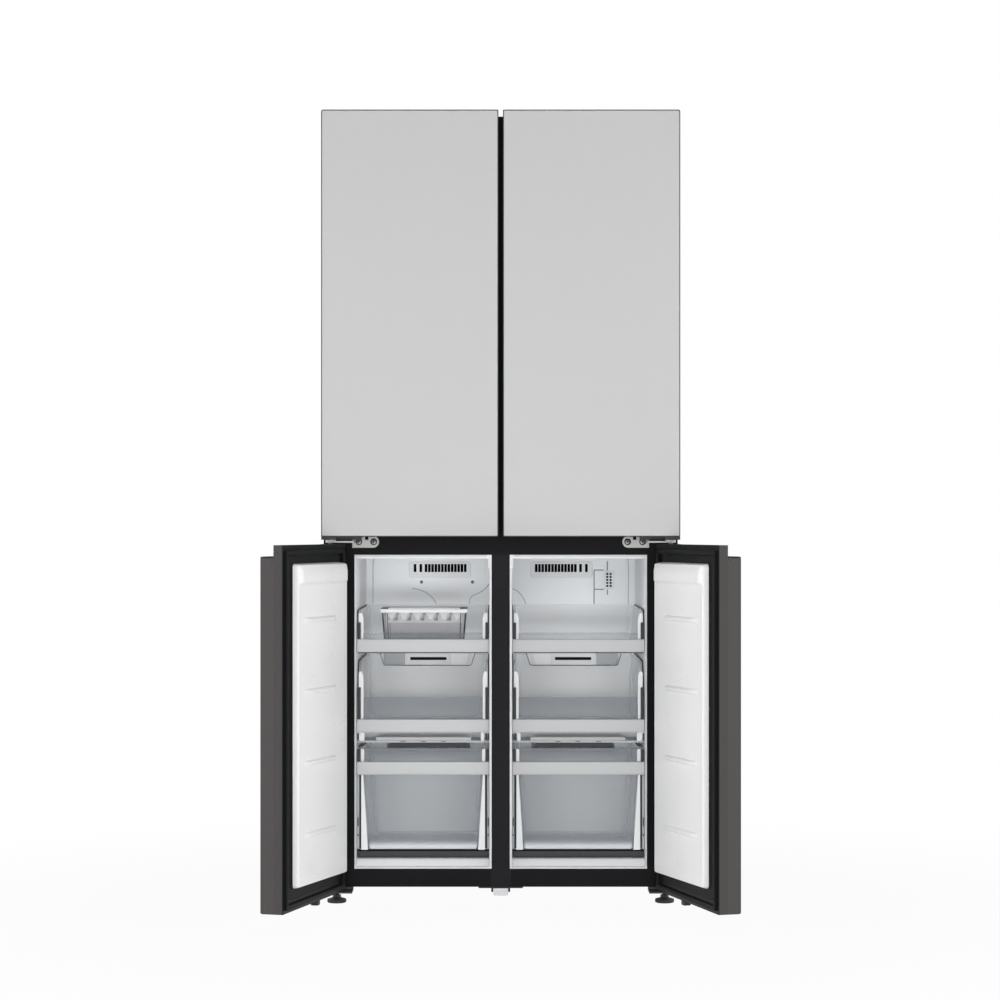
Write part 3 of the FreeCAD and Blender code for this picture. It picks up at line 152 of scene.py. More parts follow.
class ColourSettings(bpy.types.PropertyGroup):
    """Colours of the finishes."""

    door: colour("Door", "The grey skin of the doors", (0.50, 0.50, 0.505))
    edge: colour("Door edge", "The dark case of the doors", (0.072, 0.067, 0.067))
    frame: colour("Frame", "The dark frame round the openings", (0.007, 0.007, 0.008))
    seal: colour("Seal", "The door seals", (0.011, 0.0115, 0.012))
    liner: colour("Liner", "The white moulded liners", (0.86, 0.875, 0.89))
    dish: colour("Dish", "The white moulded inner faces of the doors", (0.82, 0.82, 0.816))
    clear: colour("Clear plastic", "The tint of the clear drawer fronts", (0.255, 0.288, 0.322))
    handle: colour("Handle", "The drawer handles", (0.45, 0.453, 0.458))
    clip: colour("Clip", "The clips beside the drawers", (0.022, 0.024, 0.027))
    paint: colour("Case paint", "The painted sides of the cabinet", (0.05, 0.05, 0.055))
    zinc: colour("Zinc", "The plated hinges and screws", (0.52, 0.52, 0.51))
    black: colour("Black plastic", "Feet, rollers and fans", (0.022, 0.022, 0.024))


class StageSettings(bpy.types.PropertyGroup):
    """Camera and light."""

    distance: length("Camera distance", "From the shut doors to the camera", 6.1)
    height: length("Camera height", "Height of the camera above the floor", 0.889)
    lens: FloatProperty(name="Lens", description="Focal length on a 36 mm sensor", default=94.5,
                        unit="CAMERA")
    sky: share("Sky", "Strength of the even light from all sides", 0.25)
    floor: share("Floor", "Brightness of the pale floor", 0.86)


# Shader sums


class Flow:
    """A shader socket that takes part in Python sums."""

    def __init__(self, finish, socket):
        self.finish = finish
        self.socket = socket

    def sum(self, operation, first, second):
        """A new flow from two flows or numbers."""
        return self.finish.node("ShaderNodeMath", {"operation": operation}, {0: first, 1: second})

    def __add__(self, other):
        return self.sum("ADD", self, other)

    def __radd__(self, other):
        return self.sum("ADD", other, self)

    def __sub__(self, other):
        return self.sum("SUBTRACT", self, other)

    def __rsub__(self, other):
        return self.sum("SUBTRACT", other, self)

    def __mul__(self, other):
        return self.sum("MULTIPLY", self, other)

    def __rmul__(self, other):
        return self.sum("MULTIPLY", other, self)

    def __or__(self, other):
        return self.sum("MAXIMUM", self, other)

    def __ror__(self, other):
        return self.sum("MAXIMUM", other, self)


class Finish:
    """One procedural finish; node() adds every node in it."""

    def __init__(self, tree):
        self.tree = tree

    def node(self, kind, settings=None, sockets=None, output=0):
        """Add a node, set it up, feed its sockets and hand back one of its outputs."""
        made = self.tree.nodes.new(kind)
        for name, value in (settings or {}).items():
            setattr(made, name, value)
        for name, value in (sockets or {}).items():
            self.feed(made.inputs[name], value)
        return Flow(self, made.outputs[output])

    def feed(self, socket, value):
        """Link a flow to a socket, or set a plain value on it."""
        if isinstance(value, Flow):
            self.tree.links.new(value.socket, socket)
        else:
            socket.default_value = value

    def place(self, stretch=(1, 1, 1)):
        """The point on the piece, stretched along each axis."""
        point = self.node("ShaderNodeTexCoord", output="Object")
        return self.node("ShaderNodeVectorMath", {"operation": "MULTIPLY"}, {0: point, 1: stretch})

    def noise(self, scale, detail=2, stretch=(1, 1, 1)):
        """A soft change from 0 to 1 over the piece."""
        sockets = {"Vector": self.place(stretch), "Scale": scale, "Detail": detail}
        return self.node("ShaderNodeTexNoise", None, sockets, "Fac")

    def cells(self, scale):
        """A grey of its own for each cell."""
        tone = self.node("ShaderNodeTexVoronoi", None, {"Vector": self.place(), "Scale": scale}, "Color")
        return self.node("ShaderNodeSeparateColor", None, {"Color": tone}, "Red")

    def axis(self, letter):
        """How far along one axis the point lies."""
        return self.node("ShaderNodeSeparateXYZ", None, {"Vector": self.place()}, letter)

    def ramp(self, value, low, high):
        """0 below low, 1 above high and a smooth rise between."""
        settings = {"interpolation_type": "SMOOTHSTEP"}
        sockets = {"Value": value, "From Min": low, "From Max": high}
        return self.node("ShaderNodeMapRange", settings, sockets)

    def tint(self, shade, tone):
        """A colour made lighter or darker by a value."""
        return self.node("ShaderNodeVectorMath", {"operation": "SCALE"}, {"Vector": tone, "Scale": shade})

    def blend(self, factor, first, second):
        """One colour over another."""
        sockets = {"Factor": factor, 6: first, 7: second}
        return self.node("ShaderNodeMix", {"data_type": "RGBA"}, sockets, 2)

    def bump(self, height, depth):
        """Fine relief for the shader's normal."""
        return self.node("ShaderNodeBump", None, {"Height": height, "Distance": depth, "Strength": 0.6})

    def facing(self, sharpness):
        """0 where a surface is seen square on, rising to 1 at its outline."""
        return self.node("ShaderNodeLayerWeight", None, {"Blend": sharpness}, "Facing")


class Surface(Finish):
    """A material whose one shader takes the finish."""

    def __init__(self, name):
        self.material = bpy.data.materials.new(name)
        self.material.use_nodes = True
        super().__init__(self.material.node_tree)
        self.shader = self.tree.nodes["Principled BSDF"]
        FINISHES[name] = self.material

    def set(self, **sockets):
        """Feed sockets of the shader, named with _ for a space."""
        for name, value in sockets.items():
            self.feed(self.shader.inputs[name.replace("_", " ")], value)


def moulded(name, tone, gloss, grain, depth, uneven=0.05, specular=0.5, painted_light_of=None):
    """Moulded plastic: a fine grain, an uneven gloss and soft changes of shade, or the painted light of
    painted_light_of.
    """
    made = Surface(name)
    fine = made.noise(grain, 3)
    broad = made.noise(7, 2)
    shade = painted_light_of(made) if painted_light_of else 1 + (broad - 0.5) * uneven + (fine - 0.5) * uneven
    made.set(Base_Color=made.tint(shade, tone), Specular_IOR_Level=specular, Normal=made.bump(fine, depth))
    made.set(Roughness=gloss + (fine - 0.5) * 0.14 + (broad - 0.5) * 0.06)


def post_painted_light(made):
    """Painted light: the post between the lower openings is painted lighter than the rest of the frame, as if
    more light fell on it.
    """
    across = made.axis("X")
    post = 1 - made.ramp(across * across, 0.00055, 0.0006)
    return 1 + post * (1 - made.ramp(made.axis("Z"), 0.812, 0.83)) * 1.1


def lip_painted_highlight(made):
    """Painted highlight: the lip is painted whiter beside the post and along its foot."""
    across = made.axis("X")
    beside = 1 - made.ramp(across * across, 0.0008, 0.0012)
    below = 1 - made.ramp(made.axis("Z"), 0.087, 0.094)
    return 0.74 + (beside | below) * 0.26


def plated(name, tone, gloss, stretch, spangle=0):
    """Bare or plated metal with rolling marks along one axis, and crystals where it is hot dipped."""
    made = Surface(name)
    marks = made.noise(260, 4, stretch)
    shade = 0.92 + marks * 0.16
    if spangle:
        shade = shade * (0.93 + made.cells(spangle) * 0.1)
    made.set(Base_Color=made.tint(shade, tone), Metallic=0.9)
    made.set(Roughness=gloss + (marks - 0.5) * 0.25, Normal=made.bump(marks, 0.00004))


def clear(name, tone, body, rim, edge_tone=(0.80, 0.83, 0.85), front=None):
    """Clear plastic or glass: thin where it is seen square on, fuller and paler towards its outline.

    front gives the depth, tint and cover of a darker front wall, and the heights between which its foot
    turns pale."""
    made = Surface(name)
    haze = made.noise(11, 3)
    edge = made.facing(0.35)
    shade = made.blend(edge, (*tone, 1), (*edge_tone, 1))
    cover = body + edge * rim + (haze - 0.5) * 0.04
    if front:
        depth, tint, extra, foot, clear_from = front
        ahead = 1 - made.ramp(made.axis("Y"), depth, depth + 0.002)
        shade = made.blend(ahead, shade, (*tint, 1))
        heel = ahead * (1 - made.ramp(made.axis("Z"), foot, clear_from))
        shade = made.blend(heel, shade, (*edge_tone, 1))
        cover = cover + ahead * extra + heel * 0.45
    made.set(Base_Color=made.tint(0.94 + haze * 0.12, shade), Roughness=0.1 + haze * 0.08)
    passing = made.node("ShaderNodeLightPath", output="Is Shadow Ray")
    passing = passing | made.node("ShaderNodeLightPath", output="Is Diffuse Ray")
    made.set(Alpha=cover * (1 - passing * 0.85), Normal=made.bump(haze, 0.0002))


def door_case_finish(name, tones, turn):
    """The dark case: its front block, its darker frame and the black face behind, as on the shut door."""
    made = Surface(name)
    grain = made.noise(1500, 3)
    drawn = made.noise(90, 3, (1, 1, 0.02))
    across, back, _, shift = turn.inverted()[1]
    place = made.axis("X") * across + made.axis("Y") * back + shift
    front = made.ramp(place, 0.0305, 0.0312)
    rear = made.ramp(place, 0.0500, 0.0525)
    tone = made.blend(front, (*tones.edge, 1), (*(part * 0.9 for part in tones.edge), 1))
    tone = made.blend(rear, tone, (*tones.frame, 1))
    made.set(Base_Color=made.tint(0.9 + grain * 0.12 + drawn * 0.08, tone), Specular_IOR_Level=0.12)
    made.set(Roughness=0.44 + (grain - 0.5) * 0.16, Normal=made.bump(grain, 0.00006))


def make_finishes(tones):
    """Every finish of the refrigerator."""
    skin = Surface("door_skin_grey")
    speck = skin.noise(2600, 2)
    cloud = skin.noise(1.6, 2)
    skin.set(Base_Color=skin.tint(0.985 + speck * 0.02 + (cloud - 0.5) * 0.02, tones.door))
    skin.set(Roughness=0.42 + speck * 0.06, Normal=skin.bump(speck, 0.00001), Specular_IOR_Level=0.35)
    skin.set(Coat_Weight=0.12 + cloud * 0.06, Coat_Roughness=0.3)

    door_case_finish("door_case_dark", tones, Matrix())
    for side in SIDES:
        door_case_finish(f"lower_{side}_case_dark", tones, shut_to_open(side))

    # The frame takes painted light on the post between the lower openings
    moulded("frame_dark", tones.frame, 0.42, 1100, 0.00005, specular=0.12, painted_light_of=post_painted_light)
    moulded("trim_dark", (0.05, 0.05, 0.052), 0.4, 900, 0.00003, 0.1, 0.3)
    moulded("seal_dark", tones.seal, 0.6, 700, 0.00005, 0.2, 0.1)
    moulded("liner_white", tones.liner, 0.34, 420, 0.00005, 0.035, 0.4)
    moulded("dish_white", tones.dish, 0.3, 360, 0.00006, 0.03, 0.4)
    moulded("brace_white", tuple(part * 0.8 for part in tones.liner), 0.35, 500, 0.00004, 0.03, 0.4)
    # The lip takes a painted highlight beside the post and along its foot
    moulded("lip_white", tones.liner, 0.35, 500, 0.00004, specular=0.4, painted_light_of=lip_painted_highlight)
    moulded("handle_grey", tones.handle, 0.36, 900, 0.00003, 0.03, 0.4)
    moulded("clip_grey", tones.clip, 0.3, 800, 0.00004, 0.1)
    moulded("wall_grey", tuple(part * 0.9 for part in tones.liner), 0.4, 420, 0.00005, 0.035, 0.4)
    # Black for sheets that paint the shade in holes, slots, hollows and gaps
    moulded("shade_black", (0.004, 0.004, 0.0045), 0.7, 500, 0.00005, 0.1, 0.1)
    moulded("trim_grey", (0.46, 0.475, 0.49), 0.45, 700, 0.00004, 0.04, 0.3)
    moulded("web_grey", (0.20, 0.205, 0.215), 0.45, 700, 0.00004, 0.06, 0.3)
    moulded("part_black", tones.black, 0.48, 900, 0.00008, 0.2, 0.35)
    moulded("tyre_grey", (0.16, 0.16, 0.165), 0.6, 500, 0.0001, 0.15, 0.3)
    moulded("case_paint", tones.paint, 0.4, 340, 0.00005, 0.06, 0.4)
    moulded("shell_paint", (0.012, 0.012, 0.013), 0.22, 130, 0.0001, 0.1, 0.5)
    moulded("rigid_foam", (0.78, 0.7, 0.46), 0.85, 260, 0.0008, 0.2, 0.2)
    plated("zinc_plate", tones.zinc, 0.34, (1, 1, 8))
    plated("zinc_sheet", (0.50, 0.515, 0.53), 0.46, (1, 1, 0.2), 150)
    plated("fin_metal", (0.70, 0.71, 0.72), 0.3, (1, 6, 1))
    clear("drawer_clear", (0.72, 0.76, 0.79), 0.06, 0.6, (0.84, 0.86, 0.88),
          (0.107, tones.clear, 0.12, 0.1255, 0.150))
    clear("ice_clear", (0.80, 0.79, 0.81), 0.14, 0.5)
    clear("bin_clear", (0.72, 0.77, 0.80), 0.2, 0.4)
    clear("shelf_glass", (0.62, 0.74, 0.71), 0.14, 0.5)


# Mesh forms


def smooth(value, low, high):
    """0 below low, 1 above high and an even S between."""
    part = min(max((value - low) / (high - low), 0), 1)
    return part * part * (3 - 2 * part)


def outline(low, high, radius, corner=5, edge=1, front_dense=False):
    """Points round a rectangle, anticlockwise; radius may be a pair for its low and high corners.

    corner and edge count the steps of each; front_dense crowds those of the sides towards the low end."""
    near, far = radius if isinstance(radius, tuple) else (radius, radius)
    centres = (
        (high[0] - near, low[1] + near, -90, near),
        (high[0] - far, high[1] - far, 0, far),
        (low[0] + far, high[1] - far, 90, far),
        (low[0] + near, low[1] + near, 180, near),
    )
    arcs = []
    for across, up, start, radius in centres:
        turns = (math.radians(start + 90 * step / corner) for step in range(corner + 1))
        arcs.append([(across + radius * math.cos(turn), up + radius * math.sin(turn)) for turn in turns])
    points = []
    for index, arc in enumerate(arcs):
        first = Vector(arc[-1])
        last = Vector(arcs[(index + 1) % 4][0])
        points.extend(arc)
        for step in range(1, edge):
            part = step / edge
            if front_dense and index == 0:
                part = part ** 2
            elif front_dense and index == 2:
                part = 1 - (1 - part) ** 2
            points.append(tuple(first.lerp(last, part)))
    return points


def shrink(points, distance):
    """An outline moved inwards; the points run anticlockwise."""
    moved = []
    count = len(points)
    for index in range(count):
        before = Vector(points[index - 1])
        here = Vector(points[index])
        after = Vector(points[(index + 1) % count])
        first = (here - before).normalized()
        second = (after - here).normalized()
        normal = Vector((-first.y - second.y, first.x + second.x))
        reach = distance / max(normal.length / 2, 0.5)
        moved.append(tuple(here + normal.normalized() * reach))
    return moved


def mirrored(points, sign):
    """An outline of the right side, or its mirror image for the left, still anticlockwise."""
    return [(sign * across, up) for across, up in points][::sign]


def raised(section, base):
    """A section of inset and rise in millimetres, in metres from a base."""
    return [(inset / 1000, base + rise / 1000) for inset, rise in section]


AXES = {"x": (1, 2, 0), "y": (0, 2, 1), "z": (0, 1, 2)}
CORNERS = ((0, 0), (1, 0), (1, 1), (0, 1))


def lift(axis, first, second, along):
    """A point from its two flat places and its place along an axis."""
    point = [0, 0, 0]
    for place, value in zip(AXES[axis], (first, second, along)):
        point[place] = value
    return Vector(point)


class Form:
    """A mesh in the making, in metres; a sign of -1 mirrors what is given for the right side."""

    def __init__(self, sign=1):
        self.mesh = bmesh.new()
        self.sign = sign

    def point(self, place):
        """A new point of the mesh."""
        x, y, z = place
        return self.mesh.verts.new((self.sign * x, y, z))

    def bridge(self, near, far):
        """Faces between two rings of the mesh's points."""
        for index in range(len(near)):
            after = (index + 1) % len(near)
            self.mesh.faces.new((near[index], near[after], far[after], far[index]))

    def skin(self, rings, loop=False):
        """Faces between neighbouring rings of places, with flat ends unless they make a loop."""
        made = [[self.point(place) for place in ring] for ring in rings]
        for near, far in zip(made, made[1:]):
            self.bridge(near, far)
        if loop:
            self.bridge(made[-1], made[0])
        else:
            self.mesh.faces.new(reversed(made[0]))
            self.mesh.faces.new(made[-1])

    def prism(self, axis, points, low, high, edge=0.0006, steps=3):
        """An outline drawn along an axis, with its two end edges rounded."""
        turns = [math.pi / 2 * step / steps for step in range(steps + 1)]
        rings = []
        for end, inward, order in ((low, 1, turns), (high, -1, turns[::-1])):
            for turn in order:
                flat = shrink(points, edge * (1 - math.sin(turn)))
                place = end + inward * edge * (1 - math.cos(turn))
                rings.append([lift(axis, *point, place) for point in flat])
        self.skin(rings)

    def slab(self, low, high, axis="z", corner=0.001, edge=0.0006):
        """A block with rounded corners round one axis and rounded ends along it."""
        low, high = zip(*(sorted(pair) for pair in zip(low, high)))
        first, second, along = AXES[axis]
        flat = outline((low[first], low[second]), (high[first], high[second]), corner, 3)
        self.prism(axis, flat, low[along], high[along], edge)

    def turned(self, axis, centre, profile, steps=32, loop=False):
        """A profile of radius and height pairs turned round an axis through a centre."""
        first, second, along = AXES[axis]
        rings = []
        for radius, height in profile:
            turns = (2 * math.pi * step / steps for step in range(steps))
            rings.append([lift(axis, centre[first] + radius * math.cos(turn),
                               centre[second] + radius * math.sin(turn), centre[along] + height)
                          for turn in turns])
        self.skin(rings, loop)

    def border(self, axis, near, far, section):
        """A strip with mitred corners round a rectangle; its section holds inset and height pairs."""
        rings = []
        for across, up in CORNERS:
            ring = []
            for inset, height in section:
                first = far[0] - inset if across else near[0] + inset
                second = far[1] - inset if up else near[1] + inset
                ring.append(lift(axis, first, second, height))
            rings.append(ring)
        self.skin(rings, loop=True)

    def collar(self, near, far, corner, section):
        """A strip with round corners; its section holds inset and depth pairs."""
        rings = []
        for inset, depth in section:
            low, high = (near[0] + inset, near[1] + inset), (far[0] - inset, far[1] - inset)
            rings.append([(x, depth, z) for x, z in outline(low, high, corner - inset, 6)])
        self.skin(rings, loop=True)

    def rod(self, points, radius, order=3):
        """A round rod along a smooth line."""
        line = bpy.data.curves.new("line", "CURVE")
        line.dimensions = "3D"
        line.bevel_depth = radius
        line.bevel_resolution = 3
        line.use_fill_caps = True
        spline = line.splines.new("NURBS")
        spline.points.add(len(points) - 1)
        for knot, (x, y, z) in zip(spline.points, points):
            knot.co = (self.sign * x, y, z, 1)
        spline.order_u = order
        spline.use_endpoint_u = True
        holder = bpy.data.objects.new("line", line)
        bpy.context.scene.collection.objects.link(holder)
        self.take(bpy.data.meshes.new_from_object(holder))
        bpy.data.objects.remove(holder)
        bpy.data.curves.remove(line)

    def take(self, mesh):
        """Add a finished mesh, and let it go."""
        self.mesh.from_mesh(mesh)
        bpy.data.meshes.remove(mesh)

    def finish(self, name):
        """The finished mesh, with its faces looking outwards."""
        bmesh.ops.remove_doubles(self.mesh, verts=self.mesh.verts, dist=1e-7)
        bmesh.ops.recalc_face_normals(self.mesh, faces=self.mesh.faces)
        mesh = bpy.data.meshes.new(name)
        self.mesh.to_mesh(mesh)
        self.mesh.free()
        mesh.polygons.foreach_set("use_smooth", [True] * len(mesh.polygons))
        mesh.set_sharp_from_angle(angle=SHARP_ANGLE)
        return mesh


def carve(base, tool):
    """One form with another cut out of it."""
    holders = [bpy.data.objects.new("carving", form.finish("carving")) for form in (base, tool)]
    for holder in holders:
        bpy.context.scene.collection.objects.link(holder)
    cut = holders[0].modifiers.new("cut", "BOOLEAN")
    cut.object = holders[1]
    cut.solver = "EXACT"
    graph = bpy.context.evaluated_depsgraph_get()
    left = Form()
    left.take(bpy.data.meshes.new_from_object(holders[0].evaluated_get(graph)))
    for holder in holders:
        data = holder.data
        bpy.data.objects.remove(holder)
        bpy.data.meshes.remove(data)
    return left


def level_at(height):
    """A level top for a tub."""
    return lambda x, y: height


# What outline takes for the rings of a tub
TUB_STEPS = (5, 14, True)


def tub(form, low, high, foot, wall, rim, corner, fillet, top_of):
    """An open box: foot gives how far its floor is drawn in at each side, top_of the height of its wall."""
    count = len(outline((0, 0), (1, 1), 0.1, *TUB_STEPS))

    def row(height_of, inset):
        """A ring round the box; its second try knows how far up the sloped wall it lies."""
        radii = tuple(max(radius - inset, 0.0012) for radius in corner)
        ring = []
        for index in range(count):
            draw_in = 0
            for _ in range(2):
                near = (low[0] + foot[0] * draw_in + inset, low[1] + foot[1] * draw_in + inset)
                far = (high[0] - foot[2] * draw_in - inset, high[1] - foot[3] * draw_in - inset)
                flat = outline(near, far, radii, *TUB_STEPS)[index]
                height = height_of(*flat)
                draw_in = 1 - min(max((height - low[2]) / (high[2] - low[2]), 0), 1)
            ring.append((*flat, height))
        return ring

    turns = [math.pi / 6 * step for step in range(4)]
    bends = [(1 - math.cos(turn), 1 - math.sin(turn)) for turn in turns]
    rows = [row(level_at(low[2] + fillet * up), fillet * inset) for up, inset in bends]
    edge = ((2, 0), (1.7, -0.8 * rim), (0.4, -rim), (0, -0.6 * rim), (0, 0.6 * wall), (0.6, wall))
    for drop, inset in edge:
        rows.append(row(lambda x, y, drop=drop: top_of(x, y) - drop * rim, inset))
    for up, inset in reversed(bends):
        rows.append(row(level_at(low[2] + wall + fillet * up), wall + fillet * inset))
    form.skin(rows)


# Pieces


Door = namedtuple("Door", "name lower side sign turn")


def shut_to_open(side):
    """The turn that takes a lower door from shut to its open place."""
    joint = next(joint for joint in frame["joints"] if joint["name"] == f"lower_{side}_door_hinge")
    pivot = Vector(joint["pos_m"])
    turn = Matrix.Rotation(math.radians(-joint["range_deg"][0]), 4, Vector(joint["axis"]))
    return Matrix.Translation(pivot) @ turn @ Matrix.Translation(-pivot)


def doors():
    """The four doors, each with its side's sign and its turn from shut to where it stands."""
    for level in ("upper", "lower"):
        for side, sign in SIDES.items():
            lower = level == "lower"
            yield Door(f"{level}_{side}_door", lower, side, sign, shut_to_open(side) if lower else Matrix())


def piece(name, form, body, finish, stands_for=(), turn=None):
    """A finished piece that rides on a body, in place of the solids it stands for."""
    mesh = form.finish(name)
    mesh.materials.append(FINISHES[finish])
    made = bpy.data.objects.new(name, mesh)
    bpy.context.scene.collection.objects.link(made)
    made.modifiers.new("even_shade", "WEIGHTED_NORMAL").keep_sharp = True
    if turn is not None:
        made.matrix_world = turn
    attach(made, body)
    if stands_for:
        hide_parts(*stands_for)
    return made


def block(name, body, finish, sign, low, high, rounding, turn=None):
    """A piece that is one rounded block; rounding holds its axis, and then its corner and edge radius."""
    form = Form(sign)
    form.slab(low, high, *rounding)
    piece(name, form, body, finish, (), turn)


def soften(thing, radius):
    """Round the sharp edges of an object with a modifier."""
    bevel = thing.modifiers.new("edges", "BEVEL")
    bevel.width = radius
    bevel.segments = 2
    bevel.limit_method = "ANGLE"
    bevel.angle_limit = ROUNDED_ANGLE
    bevel.harden_normals = True


def cross_screw(form, axis, centre, radius, rise):
    """A pan-head screw with a cross recess; rise is signed along the axis."""
    head = Form(form.sign)
    profile = ((1, 0), (1, 0.35), (0.9, 0.7), (0.62, 0.94), (0.3, 1))
    head.turned(axis, centre, [(radius * wide, rise * high) for wide, high in profile], 28)
    first, second, along = AXES[axis]
    long, thin = radius * 0.62, radius * 0.17
    cross = [(thin, thin), (thin, long), (-thin, long), (-thin, thin), (-long, thin), (-long, -thin),
             (-thin, -thin), (-thin, -long), (thin, -long), (thin, -thin), (long, -thin), (long, thin)]
    recess = Form(form.sign)
    recess.skin([[lift(axis, centre[first] + across, centre[second] + up, place) for across, up in cross]
                 for place in sorted((centre[along] + rise * 0.35, centre[along] + rise * 2))])
    form.take(carve(head, recess).finish("screw"))


NODE_FINISHES = {
    "case_paint": ("outer_case", "bottom_hinges"),
    "zinc_sheet": ("rear_panel", "base_pan", "fan_shroud"),
    "frame_dark": ("front_frame", "hinge_covers"),
    "rigid_foam": ("insulation_foam",),
    "liner_white": ("upper_liners", "lower_liners", "rear_wall_covers", "drawer_runners"),
    "fin_metal": ("evaporator", "condenser"),
    "shell_paint": ("compressor",),
    "part_black": ("machine_cover", "evaporator_fan", "condenser_fan", "left_foot", "right_foot",
                   "left_roller", "right_roller", "centre_stop"),
    "zinc_plate": ("top_hinges", "middle_hinges", "hinge_screws"),
    "shelf_glass": ("glass_shelves",),
    "bin_clear": ("crisper_boxes",),
    "lower_left_case_dark": ("lower_left_door_case",),
    "lower_right_case_dark": ("lower_right_door_case",),
}


class FRIDGE_OT_finishes(bpy.types.Operator):
    """Make every finish, and give the carried-over solids theirs"""

    bl_idname = "fridge.finishes"
    bl_label = "Finishes"

    def execute(self, context):
        make_finishes(context.scene.fridge_colours)
        for finish, nodes in NODE_FINISHES.items():
            for node in nodes:
                self.dress(frame["nodes"][node], finish, context.scene.fridge_cabinet.edge)
        return {"FINISHED"}

    def dress(self, thing, finish, edge):
        """Give a solid its finish, and round its edges."""
        thing.data.materials.clear()
        thing.data.materials.append(FINISHES[finish])
        thing.modifiers.new("weld", "WELD").merge_threshold = 0.00001
        soften(thing, edge)


class FRIDGE_OT_door_skins(bpy.types.Operator):
    """Put a rounded grey skin with a dark trim on the front of each door"""

    bl_idname = "fridge.door_skins"
    bl_label = "Door skins"
    trim_section = ((0.2, 0.4), (-1.6, 0.4), (-2.0, 1.0), (-2.0, 4.1), (0.2, 4.1))

    def execute(self, context):
        sizes = context.scene.fridge_doors
        for door in doors():
            name = door.name
            low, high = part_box(f"upper_{door.side}_door_panel")
            foot, head = (end.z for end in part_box(f"{name}_panel"))
            near, far = (low.x, foot), (high.x, head)
            skin = Form()
            skin.prism("y", outline(near, far, sizes.skin_corner, 6), low.y, high.y, sizes.skin_edge, 4)
            piece(f"{name}_skin", skin, name, "door_skin_grey", [f"{name}_panel"], door.turn)
            trim = Form()
            trim.collar(near, far, sizes.skin_corner, raised(self.trim_section, low.y))
            piece(f"{name}_trim", trim, name, "trim_dark", (), door.turn)
        return {"FINISHED"}


class FRIDGE_OT_door_shells(bpy.types.Operator):
    """Raise the foot of the upper doors' dark cases, and put a catch under each lower door"""

    bl_idname = "fridge.door_shells"
    bl_label = "Door shells"
    hinge_corner = 0.3258
    raised_foot = 0.8643

    def execute(self, context):
        for door in doors():
            if door.lower:
                block(f"{door.name}_catch", door.name, "part_black", door.sign,
                      (0.230, 0.034, 0.0270), (0.250, 0.052, 0.0382), ("z", 0.004, 0.002), door.turn)
            else:
                self.shell(door, context.scene.fridge_cabinet.edge)
        return {"FINISHED"}

    def shell(self, door, edge):
        """The case with its foot raised everywhere but at the hinge corner."""
        form = Form()
        mesh = form.mesh
        mesh.from_mesh(frame["nodes"][f"{door.name}_case"].data)
        bmesh.ops.remove_doubles(mesh, verts=mesh.verts, dist=1e-5)
        for place in (self.hinge_corner - 0.0002, self.hinge_corner + 0.0002):
            whole = [*mesh.verts, *mesh.edges, *mesh.faces]
            bmesh.ops.bisect_plane(mesh, geom=whole, dist=1e-6, plane_co=(door.sign * place, 0, 0),
                                   plane_no=(1, 0, 0))
        for vert in mesh.verts:
            if abs(vert.co.x) < self.hinge_corner:
                vert.co.z = max(vert.co.z, self.raised_foot)
        name = door.name
        made = piece(f"{name}_shell", form, name, "door_case_dark", [f"{name}_case"])
        soften(made, edge)


class FRIDGE_OT_door_seals(bpy.types.Operator):
    """Put a folded seal with mitred corners round the inside of each door"""

    bl_idname = "fridge.door_seals"
    bl_label = "Door seals"
    folds = ((0, 0), (0, 1.6), (1.3, 2.4), (0.3, 3.6), (0, 5.2), (0.7, 6.6), (2.4, 7.2), (5.0, 7.4),
             (7.6, 7.2), (9.3, 6.6), (10, 5.2), (9.7, 3.6), (8.7, 2.4), (10, 1.6), (10, 0))

    def execute(self, context):
        sizes = context.scene.fridge_doors
        for door in doors():
            name = door.name
            foot, head = (end.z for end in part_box(f"{name}_gasket"))
            near, far = sorted((door.sign * sizes.seal_inner, door.sign * sizes.seal_outer))
            form = Form()
            form.border("y", (near, foot), (far, head), raised(self.folds, sizes.seal_root))
            piece(f"{name}_seal", form, name, "seal_dark", [f"{name}_gasket"], door.turn)
        return {"FINISHED"}


